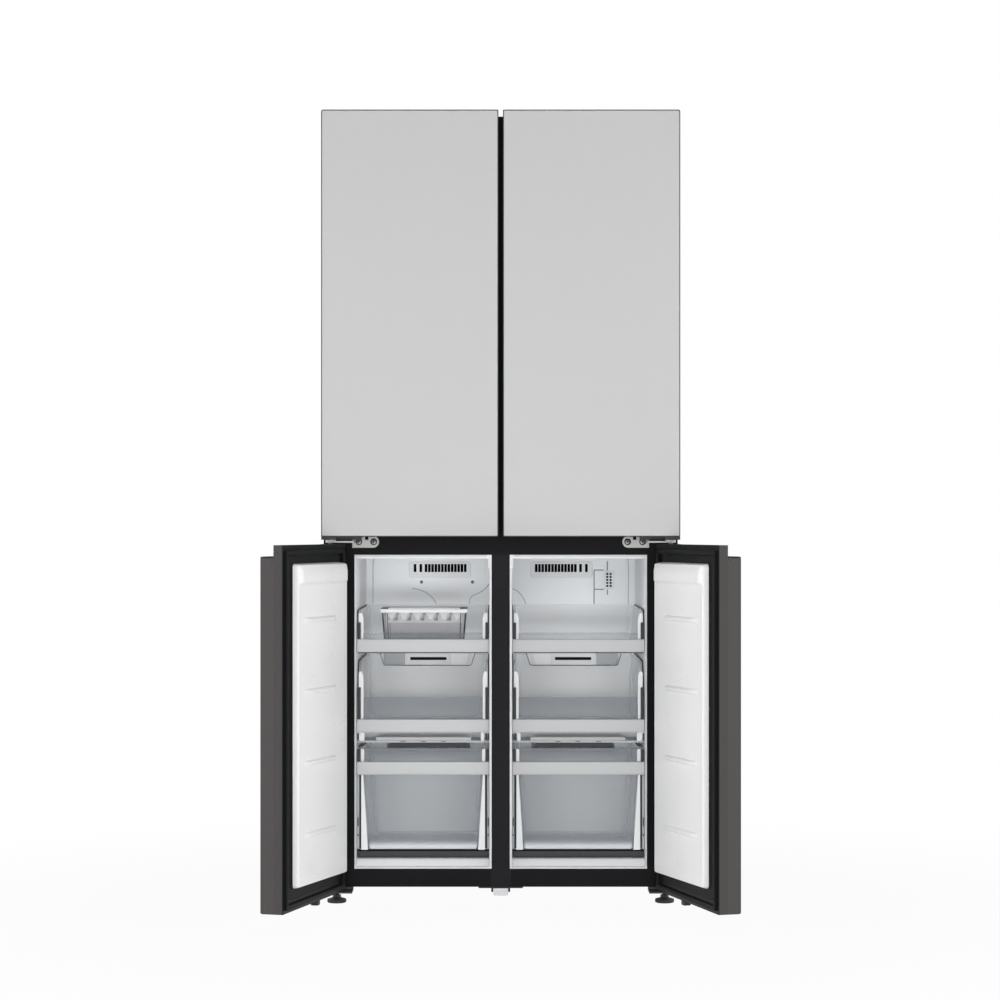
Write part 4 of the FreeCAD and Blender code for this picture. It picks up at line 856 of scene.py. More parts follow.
class FRIDGE_OT_door_dishes(bpy.types.Operator):
    """Mould the white inner face of each door, with pressed ribs on the lower ones"""

    bl_idname = "fridge.door_dishes"
    bl_label = "Door dishes"
    fin_section = ((-25.5, 0), (-25.5, 1.1), (-8, 1.4), (-4, 1.9), (-2, 3.0), (-1, 4.6), (-0.5, 5.6),
                   (0.2, 6), (0.8, 5.4), (1, 3), (1, 0))

    def execute(self, context):
        sizes = context.scene.fridge_doors
        for door in doors():
            name = door.name
            low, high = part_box(f"{name}_liner")
            head = high.z + sizes.dish_lift if door.lower else high.z
            dish = self.dish(sizes, door, low.z, head)
            piece(f"{name}_dish", dish, name, "dish_white", [f"{name}_liner"], door.turn)
            fin = self.fin(sizes, door.sign, low.z, head)
            piece(f"{name}_fin", fin, name, "seal_dark", (), door.turn)
        return {"FINISHED"}

    def dish(self, sizes, door, foot, head):
        """A sheet raised by its sloped sides, its band and its ribs, closed by a flat back."""
        across = self.stations(sizes.dish_inner, sizes.dish_outer, sizes.dish_slope, 46)
        up = self.stations(foot, head, sizes.dish_slope, 60)
        marks = []
        if door.lower:
            marks = [sizes.rib_first + sizes.rib_pitch * index for index in range(sizes.rib_count)]
            up += [head - sizes.band_height + sizes.rib_half * step / 4 for step in range(-6, 7)]
        for mark in marks:
            up += [mark + sizes.rib_half * step / 5 for step in range(-7, 8)]
        form = Form(door.sign)
        base = sizes.seal_root + 0.0003
        rows = []
        for z in sorted(set(round(place, 5) for place in up)):
            rises = (self.rise(sizes, door.lower, marks, x, z, foot, head) for x in across)
            rows.append([form.point((x, base + rise, z)) for x, rise in zip(across, rises)])
        for below, above in zip(rows, rows[1:]):
            for index in range(len(across) - 1):
                form.mesh.faces.new((below[index], below[index + 1], above[index + 1], above[index]))
        rim = rows[0] + [row[-1] for row in rows[1:]] + rows[-1][-2::-1] + [row[0] for row in rows[-2:0:-1]]
        back = [form.mesh.verts.new((vert.co.x, sizes.seal_root, vert.co.z)) for vert in rim]
        form.bridge(rim, back)
        form.mesh.faces.new(back)
        return form

    def fin(self, sizes, sign, foot, head):
        """The soft fin that covers the root of a dish, leaning on its sloped side."""
        form = Form(sign)
        form.collar((sizes.dish_inner, foot), (sizes.dish_outer, head), sizes.dish_corner,
                    raised(self.fin_section, sizes.seal_root))
        return form

    def stations(self, low, high, slope, count):
        """Places across a dish, closer together over its sloped sides."""
        margin = slope * 1.4
        ends = [margin * step / 12 for step in range(12)]
        inner = [low + margin + (high - low - 2 * margin) * step / count for step in range(count + 1)]
        return [low + end for end in ends] + inner + [high - end for end in reversed(ends)]

    def rise(self, sizes, ribbed, marks, x, z, foot, head):
        """How far the dish stands out at a point."""
        near, far, radius = sizes.dish_inner, sizes.dish_outer, sizes.dish_corner
        out_x = max(near + radius - x, x - far + radius, 0)
        out_z = max(foot + radius - z, z - head + radius, 0)
        depth = min(x - near, far - x, z - foot, head - z)
        if out_x and out_z:
            depth = radius - math.hypot(out_x, out_z)
        lean = sizes.dish_near + (sizes.dish_rise - sizes.dish_near) * (x - near) / (far - near)
        total = lean * math.sqrt(max(1 - (1 - min(depth / sizes.dish_slope, 1)) ** 2, 0))
        if ribbed:
            band = head - sizes.band_height
            total += sizes.band_rise * smooth(z, band - 0.005, band + 0.003) * smooth(depth, 0.004, 0.016)
        for mark in marks:
            part = max(1 - ((z - mark) / sizes.rib_half) ** 2, 0)
            part *= smooth(x, sizes.rib_near, sizes.rib_near + 0.04)
            part *= smooth(-x, -sizes.rib_far, 0.012 - sizes.rib_far)
            total += sizes.rib_rise * part
        return total


class FRIDGE_OT_door_bins(bpy.types.Operator):
    """Put clear bins with a grey rail on the upper doors"""

    bl_idname = "fridge.door_bins"
    bl_label = "Door bins"
    count = 3
    height = 0.092
    rail_inset = 0.018

    def execute(self, context):
        sizes = context.scene.fridge_drawers
        rim = sizes.rim
        for side in SIDES:
            body = f"upper_{side}_door"
            low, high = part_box(f"{body}_bins")
            bins = Form()
            rails = Form()
            for index in range(self.count):
                foot = low.z + (high.z - low.z - self.height) * index / (self.count - 1)
                top = foot + self.height
                tub(bins, (low.x + rim, low.y, foot), (high.x - rim, high.y - rim, top),
                    (0.006, 0, 0.006, 0.006), sizes.wall, rim, (0.014, 0.014), 0.006, level_at(top))
                inset = rim + self.rail_inset
                rails.slab((low.x + inset, high.y - 0.005, top - 0.020),
                           (high.x - inset, high.y, top - 0.006), "x")
            piece(f"{body}_clear_bins", bins, body, "bin_clear", [f"{body}_bins"])
            piece(f"{body}_bin_rails", rails, body, "trim_grey")
        return {"FINISHED"}


class FRIDGE_OT_drawers(bpy.types.Operator):
    """Make the clear drawers with their handles and end clips"""

    bl_idname = "fridge.drawers"
    bl_label = "Drawers"
    # Tops of the front, the side walls and the braces, the run of the side walls, and the rise of the clips
    levels = {
        "top": {"front": 0.637, "side": 0.690, "run": 0.014, "clip": 0.039, "brace": 0.684},
        "middle": {"front": 0.485, "side": 0.568, "run": 0.080, "clip": 0.075, "brace": 0.546},
        "bottom": {"front": 0.364, "side": 0.364, "run": 0.010, "clip": 0.029, "brace": 0.3625},
    }
    notch = ((0.0645, 0.580), (0.0746, 0.536), (0.2952, 0.536), (0.3058, 0.580))
    crown = ((5, 0), (12, 0), (12, 31), (2.2, 31), (0.9, 30.3), (0.2, 29), (0, 26), (0.1, 18), (0.8, 9),
             (2, 3.5), (3.4, 0.8))

    def execute(self, context):
        sizes = context.scene.fridge_drawers
        for side, sign in SIDES.items():
            for level, tops in self.levels.items():
                body = f"{side}_{level}_drawer"
                self.bin(sizes, body, sign, level, tops)
                self.handle(sizes, body, level, tops)
        return {"FINISHED"}

    def bin(self, sizes, body, sign, level, tops):
        """A clear drawer whose side walls rise behind its low front, with a dark bead along their edges."""
        low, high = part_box(f"{body}_bin")
        front, side, run = tops["front"], tops["side"], tops["run"]
        start = low.y + 0.0095

        def top(x, y):
            part = min(max((y - start) / run, 0), 1)
            return front + (side - front) * math.sqrt(1 - (1 - part) ** 2)

        deep = level == "bottom"
        foot = (0.017, 0.002, 0.017, 0.014) if deep else (0.006, 0.002, 0.006, 0.008)
        inset = Vector((0.0105 if deep else sizes.rim, sizes.rim, 0))
        form = Form()
        tub(form, low + inset, Vector((high.x, high.y, side)) - inset, foot, sizes.wall, sizes.rim,
            (sizes.front_corner, sizes.corner), sizes.fillet, top)
        if not deep:
            beads = Form()
            if level == "middle":
                tool = Form()
                tool.prism("y", mirrored(self.notch, sign), high.y - 0.03, high.y + 0.01, 0.0001)
                form = carve(form, tool)
                # A dark bead along the notch paints the shadow under the duct housing's lower edge
                edge = [(sign * x, high.y - 0.0045, min(z, side)) for x, z in self.notch]
                beads.rod(edge, 0.0008, 2)
            near = low.y - 0.0030
            line = ((near, tops["brace"] - 0.06), (near, side - 0.75 * run - 0.012),
                    (near + run * 0.5, side - 0.002), (near + run + 0.012, side), (high.y - 0.03, side))
            for x in (low.x - 0.0020, high.x + 0.0020):
                beads.rod([(x, y, z) for y, z in line], 0.0016)
            piece(f"{body}_beads", beads, body, "part_black")
        piece(f"{body}_clear", form, body, "drawer_clear", [f"{body}_bin"])

    def handle(self, sizes, body, level, tops):
        """A crowned bar with a cut-back foot, and a dark clip and a white brace on each end of it."""
        low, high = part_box(f"{body}_handle")
        bar = Form()
        flat = [(low.y + y / 1000, low.z + z / 1000) for y, z in self.crown]
        bar.prism("x", flat, low.x, high.x, sizes.handle_edge, 4)
        piece(f"{body}_bar", bar, body, "handle_grey", [f"{body}_handle"])
        clips = Form()
        braces = Form()
        neck = high.z + tops["clip"]
        for x, inward in ((low.x, 1), (high.x, -1)):
            start, stop = x + inward * 0.0008, x + inward * (0.0008 + sizes.clip_width)
            clips.slab((start, low.y + 0.004, high.z - 0.002), (stop, low.y + 0.0165, neck), "z",
                       0.002, 0.0015)
            for shape in self.brace(level, high.z + 0.0003, neck + 0.0005, tops["brace"]):
                flat = [(x + across, up) for across, up in mirrored(shape, inward)]
                braces.prism("y", flat, low.y + 0.0098, low.y + 0.0138, 0.0008)
        # A dark strip under the top handle paints the shadow below it
        if level == "top":
            clips.slab((low.x + 0.002, low.y + 0.0055, low.z - 0.0022),
                       (high.x - 0.002, low.y + 0.0095, low.z + 0.0008), "x", 0.001, 0.0006)
        piece(f"{body}_clips", clips, body, "clip_grey")
        piece(f"{body}_braces", braces, body, "brace_white")

    def brace(self, level, foot, neck, head):
        """The outlines of a brace, measured inwards from its end of the handle."""
        if level == "bottom":
            return (
                ((0.0085, foot), (0.0172, foot), (0.0172, head - 0.004), (0.0160, head), (0.0085, head)),
                ((0.0100, 0.1245), (0.0262, 0.1245), (0.0150, 0.3015), (0.0100, 0.3015)),
            )
        return (
            ((0.0085, foot), (0.0155, foot), (0.0155, head - 0.02), (0.0152, head - 0.012),
             (0.0130, head - 0.004), (0.0100, head), (0.0062, head), (0.0042, head - 0.005), (0.0042, neck),
             (0.0085, neck)),
        )


class FRIDGE_OT_ice_maker(bpy.types.Operator):
    """Make the clear ice box and its white tray of cells"""

    bl_idname = "fridge.ice_maker"
    bl_label = "Ice maker"
    cells = 6
    margin = 0.008
    rim_section = ((0, -5), (0, 2), (1, 3), (9, 3), (10, 2), (10, -2.5), (3, -5))
    gap_shade_outline = ((-3, 0), (-1.2, 4), (-2.2, 9.5), (-6, 13.5), (-9.5, 19.5), (1.5, 19.5), (0.6, 12.5), (1, 6.5),
            (3, 3.5), (3, 0))

    def execute(self, context):
        self.box(context.scene.fridge_drawers.rim)
        self.tray()
        return {"FINISHED"}

    def box(self, rim):
        """A clear box with two dark posts at each corner."""
        low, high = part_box("ice_box")
        inset = Vector((rim, rim, 0))
        form = Form()
        tub(form, low + inset, high - inset, (0.007, 0.006, 0.007, 0.006), 0.0022, rim, (0.008, 0.008),
            0.005, level_at(high.z))
        posts = Form()
        for x, inward in ((low.x, 1), (high.x, -1)):
            for y, deep in ((low.y, 1), (high.y, -1)):
                for top, foot, thick in ((0.0045, 0.0105, 0.0017), (0.0160, 0.0190, 0.0012)):
                    posts.rod([(x + inward * top, y + deep * 0.0045, high.z - 0.002),
                               (x + inward * foot, y + deep * 0.0085, low.z + 0.002)], thick, 2)
        piece("ice_box_posts", posts, "left_top_drawer", "clip_grey")
        piece("ice_box_clear", form, "left_top_drawer", "ice_clear", ["ice_box"])

    def tray(self):
        """A row of cells under a rim with two bars and two tabs, and in front dark marks and a grey web that
        paint the shade between the cells.
        """
        low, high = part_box("ice_tray")
        pitch = (high.x - low.x - 2 * self.margin) / self.cells
        starts = [low.x + self.margin + pitch * index for index in range(self.cells)]
        tray = Form()
        top = high.z - 0.0008
        for start in starts:
            near = (start + 0.0008, low.y + self.margin, low.z + 0.007)
            far = (start + pitch - 0.0008, high.y - self.margin, top)
            tub(tray, near, far, (0.0115, 0.016, 0.0115, 0.016), 0.0014, 0.0012, (0.005, 0.005), 0.003,
                level_at(top))
        tray.border("z", low, high, raised(self.rim_section, high.z))
        for y in (low.y + 0.0085, high.y - 0.0125):
            tray.slab((low.x + 0.018, y, high.z + 0.0005), (high.x - 0.018, y + 0.004, high.z + 0.006), "x",
                      0.0015, 0.001)
        tabs = Form()
        for start, stop in ((low.x + 0.0005, low.x + 0.0175), (high.x - 0.0175, high.x - 0.0005)):
            tabs.slab((start, low.y + 0.012, high.z + 0.0025), (stop, high.y - 0.012, high.z + 0.0055), "z",
                      0.004, 0.001)
        # Dark marks at the gaps paint the shade between the cells
        cell_gap_shades = Form()
        for start in starts[1:]:
            flat = [(start + across / 1000, high.z - 0.0052 - down / 1000) for across, down in self.gap_shade_outline]
            cell_gap_shades.prism("y", flat, low.y + 0.0082, low.y + 0.0100, 0.0003)
        piece("ice_tray_hooks", cell_gap_shades, "ice_tray", "clip_grey")
        # The grey web behind the cells paints the shade in the gaps between them
        block("ice_tray_web", "ice_tray", "trim_grey", 1,
              (low.x + 0.012, low.y + 0.026, low.z + 0.001),
              (high.x - 0.012, low.y + 0.029, high.z - 0.002), ("y", 0.002, 0.0008))
        piece("ice_tray_tabs", tabs, "ice_tray", "web_grey")
        piece("ice_tray_cells", tray, "ice_tray", "dish_white", ["ice_tray"])


class FRIDGE_OT_liner_lips(bpy.types.Operator):
    """Put the white lip round each lower opening"""

    bl_idname = "fridge.liner_lips"
    bl_label = "Liner lips"
    # Share of the lip's width, outwards from the opening's edge, and depth behind the frame's front
    section = ((1, 0.0006), (1, 0), (0.8, -0.0002), (0.35, -0.0002), (0, 0.0003), (-0.55, 0.001),
               (-0.9, 0.0022), (-1, 0.005), (-1, 0.011), (-0.55, 0.011), (-0.55, 0.0006))

    def execute(self, context):
        sizes = context.scene.fridge_cabinet
        for side, sign in SIDES.items():
            form = Form(sign)
            # Both lips run from their left foot to their right foot and back over the head
            corners = CORNERS if sign > 0 else [(1 - across, up) for across, up in CORNERS]
            form.skin([self.corner(sizes, *place) for place in corners], loop=True)
            piece(f"{side}_liner_lip", form, "cabinet", "lip_white")
        return {"FINISHED"}

    def corner(self, sizes, across, up):
        """The lip's section at one corner of the opening."""
        ring = []
        for out, depth in self.section:
            wide = tall = sizes.lip_cover
            if out <= 0:
                wide = sizes.lip_side
                tall = sizes.lip_head if up else sizes.lip_side
            elif not across:
                wide = sizes.lip_middle
            x = OPENING_FAR + out * wide if across else OPENING_NEAR - out * wide
            z = OPENING_HEAD + out * tall if up else OPENING_FOOT - out * tall
            ring.append((x, FRAME_FRONT + depth, z))
        return ring


class FRIDGE_OT_rear_wall(bpy.types.Operator):
    """Dress the rear walls of the lower rooms with vents, ducts, screws, seams and a sensor"""

    bl_idname = "fridge.rear_wall"
    bl_label = "Rear wall"
    front = 0.571
    slot_places = (*(0.0902 + 0.00828 * step for step in range(13)), 0.2028, 0.2176)
    edge_seam = ((0.3245, 0.691), (0.3245, 0.720), (0.3245, 0.780), (0.3245, 0.802), (0.319, 0.812),
                 (0.300, 0.814))
    seams = {
        "left": (
            edge_seam,
            ((0.225, 0.731), (0.200, 0.727), (0.176, 0.712), (0.166, 0.698), (0.164, 0.691)),
            ((0.030, 0.742), (0.037, 0.731), (0.050, 0.721), (0.068, 0.714), (0.077, 0.708), (0.079, 0.700),
             (0.080, 0.691)),
        ),
        "right": (
            edge_seam,
            ((0.030, 0.730), (0.044, 0.724), (0.056, 0.710), (0.062, 0.698), (0.064, 0.691)),
        ),
    }
    sensor_seams = (
        ((0.2372, 0.691), (0.2372, 0.777)),
        ((0.2372, 0.777), (0.262, 0.777)),
        ((0.2372, 0.728), (0.262, 0.728)),
        ((0.2712, 0.776), (0.2712, 0.800)),
        ((0.2712, 0.728), (0.2712, 0.714)),
    )

    def execute(self, context):
        for side, sign in SIDES.items():
            self.vent(side, sign)
            self.duct(side, sign)
            self.cover_seams(side, sign)
        self.cover_screws()
        self.sensor()
        return {"FINISHED"}

    def shade_backing(self, name, sign, low, high, rounding=("y",)):
        """A black sheet behind a row of holes, which paints the shade inside them."""
        block(name, "cabinet", "shade_black", sign, low, high, rounding)

    def vent(self, side, sign):
        """A bezel with upright slots over a black back."""
        front = self.front
        plate = Form(sign)
        plate.slab((0.076, front - 0.005, 0.758), (0.233, front + 0.0005, 0.798), "y", 0.006, 0.0015)
        slots = Form(sign)
        half = 0.0034
        for place in self.slot_places:
            slots.slab((place - half, front - 0.02, 0.772), (place + half, front + 0.02, 0.7925), "y",
                       0.0006, 0.0001)
        piece(f"{side}_vent_bezel", carve(plate, slots), "cabinet", "wall_grey")
        # The black back paints the shade behind the vent's slots
        self.shade_backing(f"{side}_vent_back", sign, (0.080, front - 0.0022, 0.765),
                     (0.222, front - 0.0004, 0.796))

    def duct(self, side, sign):
        """A raised plate round the duct's mouth."""
        plate = Form(sign)
        plate.slab((0.127, 0.5535, 0.5365), (0.240, 0.5575, 0.575), "y", 0.004, 0.001)
        mouth = Form(sign)
        mouth.slab((0.1375, 0.54, 0.5492), (0.2295, 0.60, 0.5568), "y", 0.001, 0.0001)
        piece(f"{side}_duct_plate", carve(plate, mouth), "cabinet", "wall_grey")
        block(f"{side}_duct_pocket", "cabinet", "trim_grey", sign, (0.2425, 0.5548, 0.5372),
              (0.2955, 0.5574, 0.584), ("y", 0.002, 0.0008))
        # The black back paints the shade in the duct's mouth
        self.shade_backing(f"{side}_duct_back", sign, (0.1355, 0.5562, 0.5472), (0.2315, 0.5572, 0.5588),
                     ("y", 0.001, 0.0002))

    def cover_seams(self, side, sign):
        """Fine seams pressed in the cover."""
        form = Form(sign)
        for line in self.seams[side]:
            form.rod([(x, self.front - 0.0002, z) for x, z in line], 0.0011, 4)
        piece(f"{side}_cover_seams", form, "cabinet", "trim_grey")

    def cover_screws(self):
        """The two screws of the left cover."""
        heads = Form(SIDES["left"])
        for place in (0.0717, 0.2013):
            cross_screw(heads, "y", (place, self.front, 0.7467), 0.0042, -0.0016)
        piece("left_cover_screws", heads, "cabinet", "web_grey")

    def sensor(self):
        """The small grille in front of the temperature sensor."""
        front = self.front
        case = Form()
        case.slab((0.2625, front - 0.004, 0.729), (0.288, front + 0.0005, 0.775), "y", 0.003, 0.001)
        holes = Form()
        wide, tall = 0.0026, 0.0025
        for x in (0.2708, 0.2792):
            for step in range(5):
                z = 0.7368 + step * 0.0076
                holes.slab((x - wide, front - 0.02, z - tall), (x + wide, front + 0.02, z + tall), "y",
                           0.0008, 0.0001)
        piece("sensor_grille", carve(case, holes), "cabinet", "wall_grey")
        # The black back paints the shade in the grille's holes
        self.shade_backing("sensor_back", 1, (0.266, front - 0.0016, 0.732), (0.284, front - 0.0004, 0.772))
        lines = Form()
        for line in self.sensor_seams:
            lines.rod([(x, front - 0.0002, z) for x, z in line], 0.0012, 2)
        piece("sensor_seams", lines, "cabinet", "web_grey")


class FRIDGE_OT_room_fittings(bpy.types.Operator):
    """Put the cover shelf, side rails and sills round the bottom drawers, with dark plates that paint the
    shade under them
    """

    bl_idname = "fridge.room_fittings"
    bl_label = "Room fittings"
    sill = ((126, 87), (124, 98), (118, 103), (108, 104.2), (101, 103.7), (97.5, 102.0), (94, 98.4),
            (90, 93), (87, 88.8), (86, 87))

    def execute(self, context):
        for side, sign in SIDES.items():
            self.lid(side, sign)
            self.rails(side, sign)
            self.foot(side, sign)
        block("centre_skid_cover", "cabinet", "liner_white", 1, (-0.0175, 0.0604, 0.0216),
              (0.0175, 0.0916, 0.0386), ("y", 0.002, 0.001))
        return {"FINISHED"}

    def lid(self, side, sign):
        """The shelf over the bottom drawer, with its front bar, a dark plate that paints the shade in the
        slit under its front, two dark rods beside that plate, and its ends.
        """
        block(f"{side}_cover_lid", "cabinet", "trim_grey", sign, (ROOM_NEAR, 0.120, 0.3755),
              (ROOM_FAR, 0.330, 0.3810), ("y", 0.002, 0.002))
        block(f"{side}_lid_bars", "cabinet", "handle_grey", sign, (0.070, 0.1206, 0.3805),
              (0.296, 0.136, 0.3895), ("x", 0.003, 0.002))
        # A dark plate under the lid's front paints the shade in the slit there
        shade_flange = Form(sign)
        flat = ((0.085, 0.3654), (0.262, 0.3654), (0.265, 0.3757), (0.082, 0.3757))
        shade_flange.prism("y", flat, 0.1214, 0.1240, 0.0004)
        for shift in (0, 0.0068):
            shade_flange.rod([(0.3365 - shift, 0.1195, 0.3668), (0.3250 - shift, 0.1195, 0.3752)], 0.0014, 2)
        piece(f"{side}_lid_flange", shade_flange, "cabinet", "clip_grey")
        ends = Form(sign)
        ends.slab((0.031, 0.198, 0.3805), (0.3355, 0.205, 0.3945), "x", 0.002, 0.002)
        for near, far in ((0.0385, 0.0470), (0.3220, 0.3352)):
            ends.slab((near, 0.1060, 0.3812), (far, 0.1150, 0.4025), "y", 0.0025, 0.001)
        piece(f"{side}_lid_ends", ends, "cabinet", "brace_white")

    def rails(self, side, sign):
        """The rails beside the bottom drawer, and the dark marks on them and on the lid; the long dark strip
        in each rail paints the shade in the gap beside the drawer.
        """
        rails = Form(sign)
        marks = Form(sign)
        for near, far, start, stop in ((0.0268, 0.0325, 0.0325, 0.0375), (0.3342, 0.3400, 0.3290, 0.3342)):
            rails.slab((near, 0.106, 0.126), (far, 0.118, 0.300), "z", 0.002, 0.002)
            # A long dark strip paints the shade in the gap between the rail and the drawer
            marks.slab((start, 0.112, 0.126), (stop, 0.118, 0.300), "z", 0.001, 0.001)
            middle = (near + far) / 2
            for foot, head in ((0.179, 0.200), (0.156, 0.161)):
                marks.slab((middle - 0.0013, 0.1052, foot), (middle + 0.0013, 0.1066, head), "y",
                           0.0008, 0.0002)
        for near, far in ((0.0325, 0.0365), (0.3362, 0.3388)):
            marks.slab((near, 0.1055, 0.3850), (far, 0.1085, 0.3985), "y", 0.0008, 0.0004)
        for place in (0.136, 0.183, 0.232):
            marks.slab((place - 0.006, 0.1194, 0.3778), (place + 0.006, 0.1202, 0.3792), "y",
                       0.0005, 0.0002)
        piece(f"{side}_side_rails", rails, "cabinet", "trim_grey")
        piece(f"{side}_rail_marks", marks, "cabinet", "clip_grey")

    def foot(self, side, sign):
        """The dark plate and black seam that paint the shade under the bottom drawer, the sill below that
        drawer and the tab at the lip's head.
        """
        drawer = f"{side}_bottom_drawer"
        # A dark plate and a black seam paint the shadow under the drawer's front
        block(f"{drawer}_sole", drawer, "clip_grey", sign, (BAR_NEAR, 0.108, 0.1048),
              (BAR_FAR, 0.118, 0.1238), ("x", 0.003, 0.002))
        block(f"{drawer}_seam", drawer, "shade_black", sign, (BAR_NEAR, 0.1066, 0.1203),
              (BAR_FAR, 0.1090, 0.1246), ("x", 0.0008, 0.0006))
        sill = Form(sign)
        sill.prism("x", [(y / 1000, z / 1000) for y, z in self.sill], ROOM_NEAR, ROOM_FAR, 0.0006)
        piece(f"{side}_sill", sill, "cabinet", "brace_white")
        block(f"{side}_lip_tab", "cabinet", "dish_white", sign, (0.0240, 0.0603, 0.790),
              (0.0292, 0.070, 0.8205), ("y", 0.0015, 0.0008))


class FRIDGE_OT_hinges(bpy.types.Operator):
    """Put cross-head screws and washers on the middle hinges, with black rings and a black slot that paint
    the shade in the hollows round the screws and in a slot
    """

    bl_idname = "fridge.hinges"
    bl_label = "Hinges"
    screw_height = 0.852
    recess = ((0.0078, 0), (0.0078, -0.0006), (0.0072, -0.0009), (0.004, -0.0009))
    washer = ((0.0118, 0), (0.0122, 0.0005), (0.0122, 0.0022), (0.0115, 0.0028))

    def execute(self, context):
        screws = Form()
        recess_shades = Form()
        washers = Form()
        for sign in SIDES.values():
            for place in (0.298, 0.333):
                cross_screw(screws, "y", (sign * place, 0.058, self.screw_height), 0.0058, -0.0022)
                recess_shades.turned("y", (sign * place, 0.0581, self.screw_height), self.recess)
            recess_shades.slab((sign * 0.3105, 0.0574, 0.8565), (sign * 0.3180, 0.0582, 0.8652), "y",
                          0.0008, 0.0002)
            washers.turned("z", (sign * HINGE_LINE, 0.024, 0.8541), self.washer)
        piece("middle_hinge_screws", screws, "cabinet", "zinc_plate", ["hinge_screws"])
        piece("middle_hinge_recesses", recess_shades, "cabinet", "shade_black")
        piece("middle_hinge_washers", washers, "cabinet", "dish_white")
        return {"FINISHED"}


class FRIDGE_OT_rear_sheet(bpy.types.Operator):
    """Press beads into the rear sheet, screw it down and finish the cover of the machine space"""

    bl_idname = "fridge.rear_sheet"
    bl_label = "Rear sheet"
    hem = ((0, -1), (0, 0.8), (0.6, 1.4), (13.4, 1.4), (14, -1))
    rim = ((0, -1), (0, 1.2), (0.8, 2), (3.4, 2), (4.2, 1.2), (4.2, -1))
    inlet = ((0.0092, -0.003), (0.0092, 0.003), (0.0104, 0.0044), (0.0136, 0.0044), (0.0156, 0.003),
             (0.0166, 0), (0.0166, -0.003))
    screw = (0.0046, 0.002)

    def execute(self, context):
        screws = Form()
        self.sheet(context.scene.fridge_cabinet, screws)
        rim = self.cover(screws)
        piece("rear_screws", screws, "cabinet", "zinc_plate")
        piece("machine_cover_rim", rim, "cabinet", "part_black")
        return {"FINISHED"}

    def sheet(self, sizes, screws):
        """Upright beads in two rows, a hem round the sheet and screws down both its sides."""
        low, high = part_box("rear_panel")
        half = sizes.bead_width / 2
        middle = (low.z + high.z) / 2
        beads = Form()
        for x in (-0.30, -0.15, 0, 0.15, 0.30):
            for foot, head in ((low.z + 0.09, middle - 0.03), (middle + 0.03, high.z - 0.09)):
                beads.slab((x - half, high.y - 0.002, foot), (x + half, high.y + sizes.bead_rise, head),
                           "y", half * 0.98, 0.002)
        self.frame_in(beads, low, high, 0.001, self.hem)
        piece("rear_sheet_beads", beads, "cabinet", "zinc_sheet")
        for x in (low.x + 0.0075, high.x - 0.0075):
            for step in range(5):
                z = low.z + 0.03 + (high.z - low.z - 0.06) * step / 4
                cross_screw(screws, "y", (x, high.y + 0.0012, z), *self.screw)

    def cover(self, screws):
        """A raised rim round the cover, a collar round its inlet and six screws."""
        low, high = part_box("machine_cover")
        for x in (low.x + 0.020, 0, high.x - 0.020):
            for z in (low.z + 0.014, high.z - 0.014):
                cross_screw(screws, "y", (x, high.y, z), *self.screw)
        rim = Form()
        self.frame_in(rim, low, high, 0.003, self.rim)
        rim.turned("y", (0.3555, high.y, 0.102), self.inlet, 32, True)
        return rim

    def frame_in(self, form, low, high, inset, section):
        """A strip on the rear face of a box, inside its four sides."""
        near, far = (low.x + inset, low.z + inset), (high.x - inset, high.z - inset)
        form.border("y", near, far, raised(section, high.y))


